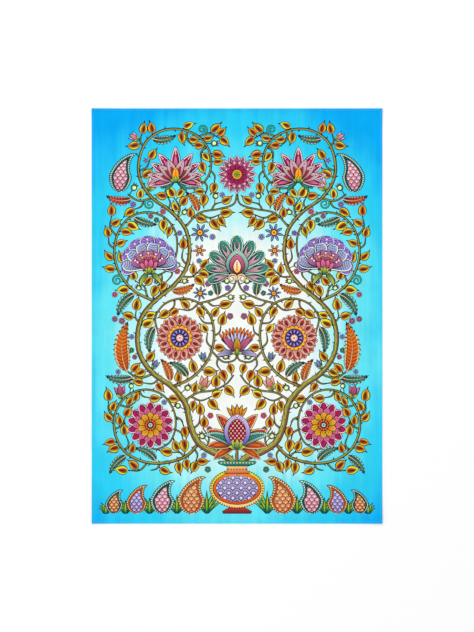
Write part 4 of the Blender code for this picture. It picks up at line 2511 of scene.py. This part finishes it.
def pen_group() -> bpy.types.NodeTree:
    """Fine pen lines: a mask from the line numbers and strengths that the cloth carries.

    Returns:
        The group's tree.
    """
    bench, given, out = new_group(
        "pen_lines", {"Numbers": None, "Vector": None, "Thick": 0.17}, {"Mask": "NodeSocketFloat"}
    )
    number, force = bench.split(given.outputs["Numbers"])
    number = bench.math("MULTIPLY_ADD", bench.noise(given.outputs["Vector"], 240.0), 0.35, number)
    saw = bench.math("ABSOLUTE", bench.math("SUBTRACT", bench.math("FRACT", number), 0.5))
    width = bench.math("MULTIPLY", given.outputs["Thick"], force)
    soft = bench.math("MULTIPLY_ADD", width, 0.55, 0.001)
    edge = bench.math("DIVIDE", bench.math("SUBTRACT", width, saw), soft)
    mask = bench.math("ADD", edge, 0.5, clamp=True)
    bench.feed(out, Mask=bench.math("MULTIPLY", mask, bench.math("MINIMUM", force, 1.0)))
    return bench.tree


def new_material(
    name: str,
) -> tuple[bpy.types.Material, NodeBench, bpy.types.Node, bpy.types.NodeSocket]:
    """A new material, with its bench, its shader and the place on the piece.

    Args:
        name: the material's name.

    Returns:
        The material, its bench, its shader and the place on the piece.
    """
    material = bpy.data.materials.new(name)
    material.use_nodes = True
    bench = NodeBench(material.node_tree)
    place = bench.node("ShaderNodeTexCoord").outputs["Object"]
    return material, bench, material.node_tree.nodes["Principled BSDF"], place


@dataclass(frozen=True)
class PaintedCotton:
    """The cotton with its dyes: the painted face, or the paler underside.

    The bare share is how much undyed yarn shows, first in the hollows of the weave and
    then on the yarn tops. The weave is also shaded in the colour: painted shade in its
    hollows and painted highlight on its yarn tops.
    """

    name: str = "painted_cotton"
    bare: tuple[float, float] = (0.004, 0.0)
    # Painted shade and highlight of the weave: the colour's scale in the hollows and on the yarn tops
    painted_weave_shading: tuple[float, float] = (0.86, 1.08)
    yarn: tuple[float, float, float] = (0.80, 0.78, 0.70)
    roughness: float = 0.86
    relief: float = 0.00016
    inked: bool = True

    def build(self, groups: dict[str, bpy.types.NodeTree]) -> bpy.types.Material:
        """Makes the material from the shared effects.

        Args:
            groups: the shared effects by name.

        Returns:
            The material.
        """
        material, bench, shader, place = new_material(self.name)
        dye = bench.node("ShaderNodeAttribute", attribute_name="dye")
        sky = bench.group(groups["sky"], Vector=place)
        colour = bench.mix(dye.outputs["Alpha"], sky.outputs[0], dye.outputs["Color"])
        if self.inked:
            pen = bench.node("ShaderNodeAttribute", attribute_name="pen")
            lines = bench.group(groups["pen"], Numbers=pen.outputs["Vector"], Vector=place)
            ink = (*blended(Dye.INK, Dye.INK_BROWN, 0.45), 1.0)
            colour = bench.mix(lines.outputs[0], colour, ink)
        colour = bench.toned(colour, bench.group(groups["wash"], Vector=place).outputs[0])
        weave = bench.group(groups["weave"], Vector=place)
        shade = weave.outputs["Shade"]
        # Painted shade and highlight: the colour is darker in the weave's hollows and lighter on the
        # yarn tops, by the weave's height
        colour = bench.toned(colour, bench.move(shade, (0.1, 0.95), self.painted_weave_shading))
        colour = bench.mix(bench.move(shade, (0.1, 0.9), self.bare), colour, (*self.yarn, 1.0))
        rough = bench.move(shade, (0.1, 0.9), (self.roughness + 0.08, self.roughness - 0.05))
        bump = bench.fed("ShaderNodeBump", Strength=0.6, Distance=self.relief,
                         Height=weave.outputs["Height"])
        bench.feed(shader, Base_Color=colour, Roughness=rough, Normal=bump.outputs["Normal"],
                   Specular_IOR_Level=0.03)
        return material


@dataclass(frozen=True)
class HemThread:
    """The sewing thread of the hem: pale blue cotton with a two-ply twist."""

    name: str = "hem_thread"
    colour: tuple[float, float, float] = (0.10, 0.60, 0.86)
    roughness: float = 0.7
    twist: float = 900.0
    relief: float = 0.00008

    def build(self, groups: dict[str, bpy.types.NodeTree]) -> bpy.types.Material:
        """Makes the material from the shared effects.

        Args:
            groups: the shared effects by name.

        Returns:
            The material.
        """
        material, bench, shader, place = new_material(self.name)
        tone = bench.group(groups["wash"], Vector=place, Grain=0.4).outputs[0]
        twist = bench.node("ShaderNodeTexWave", bands_direction="DIAGONAL")
        bench.feed(twist, Vector=place, Scale=self.twist)
        bump = bench.fed("ShaderNodeBump", Distance=self.relief, Height=twist.outputs["Fac"])
        bench.feed(shader, Base_Color=bench.toned(self.colour, tone), Roughness=self.roughness,
                   Normal=bump.outputs["Normal"])
        return material


@dataclass(frozen=True)
class HemStitching:
    """The row of running stitches that holds the hem, set by Geometry Nodes."""

    inset: float = 0.0050
    pitch: float = 0.0034
    stitch: float = 0.0025
    thread: float = 0.00024
    # The arch of one stitch: shares of its length, and of the thread's radius up or down
    arch: tuple[tuple[float, float], ...] = ((-0.5, -0.9), (0.0, 1.6), (0.5, -0.9))
    # The least and most that one stitch differs in size from the others
    uneven: tuple[tuple[float, float, float], ...] = ((0.88, 0.92, 0.92), (1.06, 1.08, 1.08))
    seed: int = 3

    def route(self, cloth: Cloth) -> bpy.types.Object:
        """The closed line of the stitching, on the face of the hem.

        Args:
            cloth: the cloth that the stitches lie on.

        Returns:
            The line, as a curve.
        """
        x, y = cloth.width / 2 - self.inset, cloth.length / 2 - self.inset
        corners = np.array([(-x, -y), (x, -y), (x, y), (-x, y)])
        share = np.linspace(0, 1, 700, endpoint=False)[:, None]
        flat = np.vstack([a + (b - a) * share for a, b in zip(corners, np.roll(corners, -1, axis=0))])
        height = cloth.heights(flat)[0] + self.thread * 0.3
        curve = bpy.data.curves.new("stitch_route", "CURVE")
        curve.dimensions = "3D"
        spline = curve.splines.new("POLY")
        spline.points.add(len(flat) - 1)
        places = np.column_stack([flat, height, np.ones(len(flat))])
        spline.points.foreach_set("co", places.astype(np.float32).ravel())
        spline.use_cyclic_u = True
        return placed("stitch_route", curve)

    def tree(self, thread: bpy.types.Material) -> bpy.types.NodeTree:
        """The Geometry Nodes tree: one arched stitch repeated along the route.

        Args:
            thread: the thread's material.

        Returns:
            The tree.
        """
        tree = bpy.data.node_groups.new("running_stitches", "GeometryNodeTree")
        face = tree.interface
        face.new_socket(name="Route", in_out="INPUT", socket_type="NodeSocketGeometry")
        for name in ("Pitch", "Stitch", "Thread"):
            face.new_socket(name=name, in_out="INPUT", socket_type="NodeSocketFloat")
        face.new_socket(name="Stitches", in_out="OUTPUT", socket_type="NodeSocketGeometry")
        bench = NodeBench(tree)
        given, out = bench.node("NodeGroupInput"), bench.node("NodeGroupOutput")
        sizes = given.outputs
        spaced = bench.node("GeometryNodeResampleCurve", mode="LENGTH")
        bench.feed(spaced, Curve=sizes["Route"], Length=sizes["Pitch"])
        ends = []
        for along, rise in self.arch:
            place = bench.fed("ShaderNodeCombineXYZ",
                              X=bench.math("MULTIPLY", sizes["Stitch"], along),
                              Z=bench.math("MULTIPLY", sizes["Thread"], rise))
            ends.append(place.outputs[0])
        arch = bench.fed("GeometryNodeCurveQuadraticBezier", Resolution=4, Start=ends[0],
                         Middle=ends[1], End=ends[2])
        section = bench.fed("GeometryNodeCurvePrimitiveCircle", Resolution=6,
                            Radius=sizes["Thread"])
        tube = bench.fed("GeometryNodeCurveToMesh", Curve=arch.outputs["Curve"],
                         Profile_Curve=section.outputs["Curve"], Fill_Caps=True)
        turn = bench.node("FunctionNodeAlignRotationToVector", axis="X")
        bench.feed(turn, Vector=bench.node("GeometryNodeInputTangent").outputs[0])
        uneven = bench.node("FunctionNodeRandomValue", data_type="FLOAT_VECTOR")
        bench.feed(uneven, Min=self.uneven[0], Max=self.uneven[1], Seed=self.seed)
        repeat = bench.fed("GeometryNodeInstanceOnPoints", Points=spaced.outputs["Curve"],
                           Instance=tube.outputs["Mesh"], Rotation=turn.outputs["Rotation"],
                           Scale=uneven.outputs[0])
        solid = bench.fed("GeometryNodeRealizeInstances", Geometry=repeat.outputs["Instances"])
        finish = bench.fed("GeometryNodeSetMaterial", Geometry=solid.outputs["Geometry"],
                           Material=thread)
        bench.feed(out, Stitches=finish.outputs["Geometry"])
        return tree

    def build(self, cloth: Cloth, thread: bpy.types.Material) -> bpy.types.Object:
        """Makes the stitches as one plain mesh.

        Args:
            cloth: the cloth that they lie on.
            thread: the thread's material.

        Returns:
            The finished object.
        """
        route = self.route(cloth)
        modifier = route.modifiers.new("stitches", "NODES")
        modifier.node_group = self.tree(thread)
        sizes = {"Pitch": self.pitch, "Stitch": self.stitch, "Thread": self.thread}
        for item in modifier.node_group.interface.items_tree:
            if item.name in sizes:
                modifier[item.identifier] = sizes[item.name]
        graph = bpy.context.evaluated_depsgraph_get()
        mesh = bpy.data.meshes.new_from_object(route.evaluated_get(graph), depsgraph=graph)
        mesh.materials.clear()
        mesh.materials.append(thread)
        mesh.shade_smooth()
        bpy.data.objects.remove(route)
        return placed("hem_stitches", mesh)


@dataclass(frozen=True)
class Studio:
    """The plain floor, the light and the camera straight over the cloth."""

    frame_height: int = 632
    panel_pixels: float = 415.0
    lens: float = 100.0
    sensor: float = 36.0
    floor_half: float = 6.0
    floor_gap: float = 0.0003
    sky_strength: float = 0.90
    lamp_watts: float = 60.0
    lamp_size: float = 2.4
    lamp_at: tuple[float, float, float] = (-2.4, 2.2, 3.8)

    def build(self, length: float) -> None:
        """Sets the stage.

        Args:
            length: the cloth's length, which the camera's height follows.
        """
        scene = bpy.context.scene
        scene.view_settings.view_transform = "Standard"
        scene.view_settings.look = "None"
        self.floor()
        self.lights()
        data = bpy.data.cameras.new("overhead")
        data.lens, data.sensor_width, data.clip_end = self.lens, self.sensor, 50.0
        shown = length * self.frame_height / self.panel_pixels
        scene.camera = placed("overhead", data)
        scene.camera.location.z = shown * self.lens / self.sensor

    def floor(self) -> None:
        """Lays a plain white floor just under the cloth."""
        half = self.floor_half
        mesh = bpy.data.meshes.new("floor")
        corners = [(-half, -half, 0), (half, -half, 0), (half, half, 0), (-half, half, 0)]
        mesh.from_pydata(corners, [], [(0, 1, 2, 3)])
        floor = placed("floor", mesh)
        floor.location.z = -self.floor_gap
        material, bench, shader, _ = new_material("studio_white")
        bench.feed(shader, Base_Color=(0.96, 0.96, 0.96, 1.0), Roughness=0.9)
        mesh.materials.append(material)

    def lights(self) -> None:
        """Sets an even sky and one broad soft lamp from the upper left."""
        scene = bpy.context.scene
        scene.world = bpy.data.worlds.new("studio")
        scene.world.use_nodes = True
        sky = scene.world.node_tree.nodes["Background"]
        sky.inputs["Color"].default_value = (1.0, 1.0, 1.0, 1.0)
        sky.inputs["Strength"].default_value = self.sky_strength
        lamp = bpy.data.lights.new("soft_lamp", "AREA")
        lamp.energy, lamp.size = self.lamp_watts, self.lamp_size
        holder = placed("soft_lamp", lamp)
        holder.location = self.lamp_at
        holder.rotation_euler = (-holder.location).to_track_quat("-Z", "Y").to_euler()


def main() -> None:
    """Builds the stage and the cloth, and reports each piece."""
    logging.basicConfig(level=logging.INFO, format="%(name)s: %(message)s")
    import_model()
    low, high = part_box(PANEL_NODE)
    width, length = high.x - low.x, high.y - low.y
    Studio().build(length)
    groups = {"weave": weave_group(), "wash": wash_group(), "sky": sky_group(), "pen": pen_group()}
    sheet = Cloth(width, length)
    cloth = sheet.build(ScrollPainting().draw())
    cloth.data.materials.append(PaintedCotton().build(groups))
    underside = PaintedCotton("cotton_underside", bare=(0.52, 0.40), inked=False)
    cloth.data.materials.append(underside.build(groups))
    stitches = HemStitching().build(sheet, HemThread().build(groups))
    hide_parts(PANEL_NODE)
    for piece in (cloth, stitches):
        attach(piece, BODY)
        LOG.info("%s: %d faces", piece.name, len(piece.data.polygons))
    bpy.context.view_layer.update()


if __name__ == "__main__":
    main()
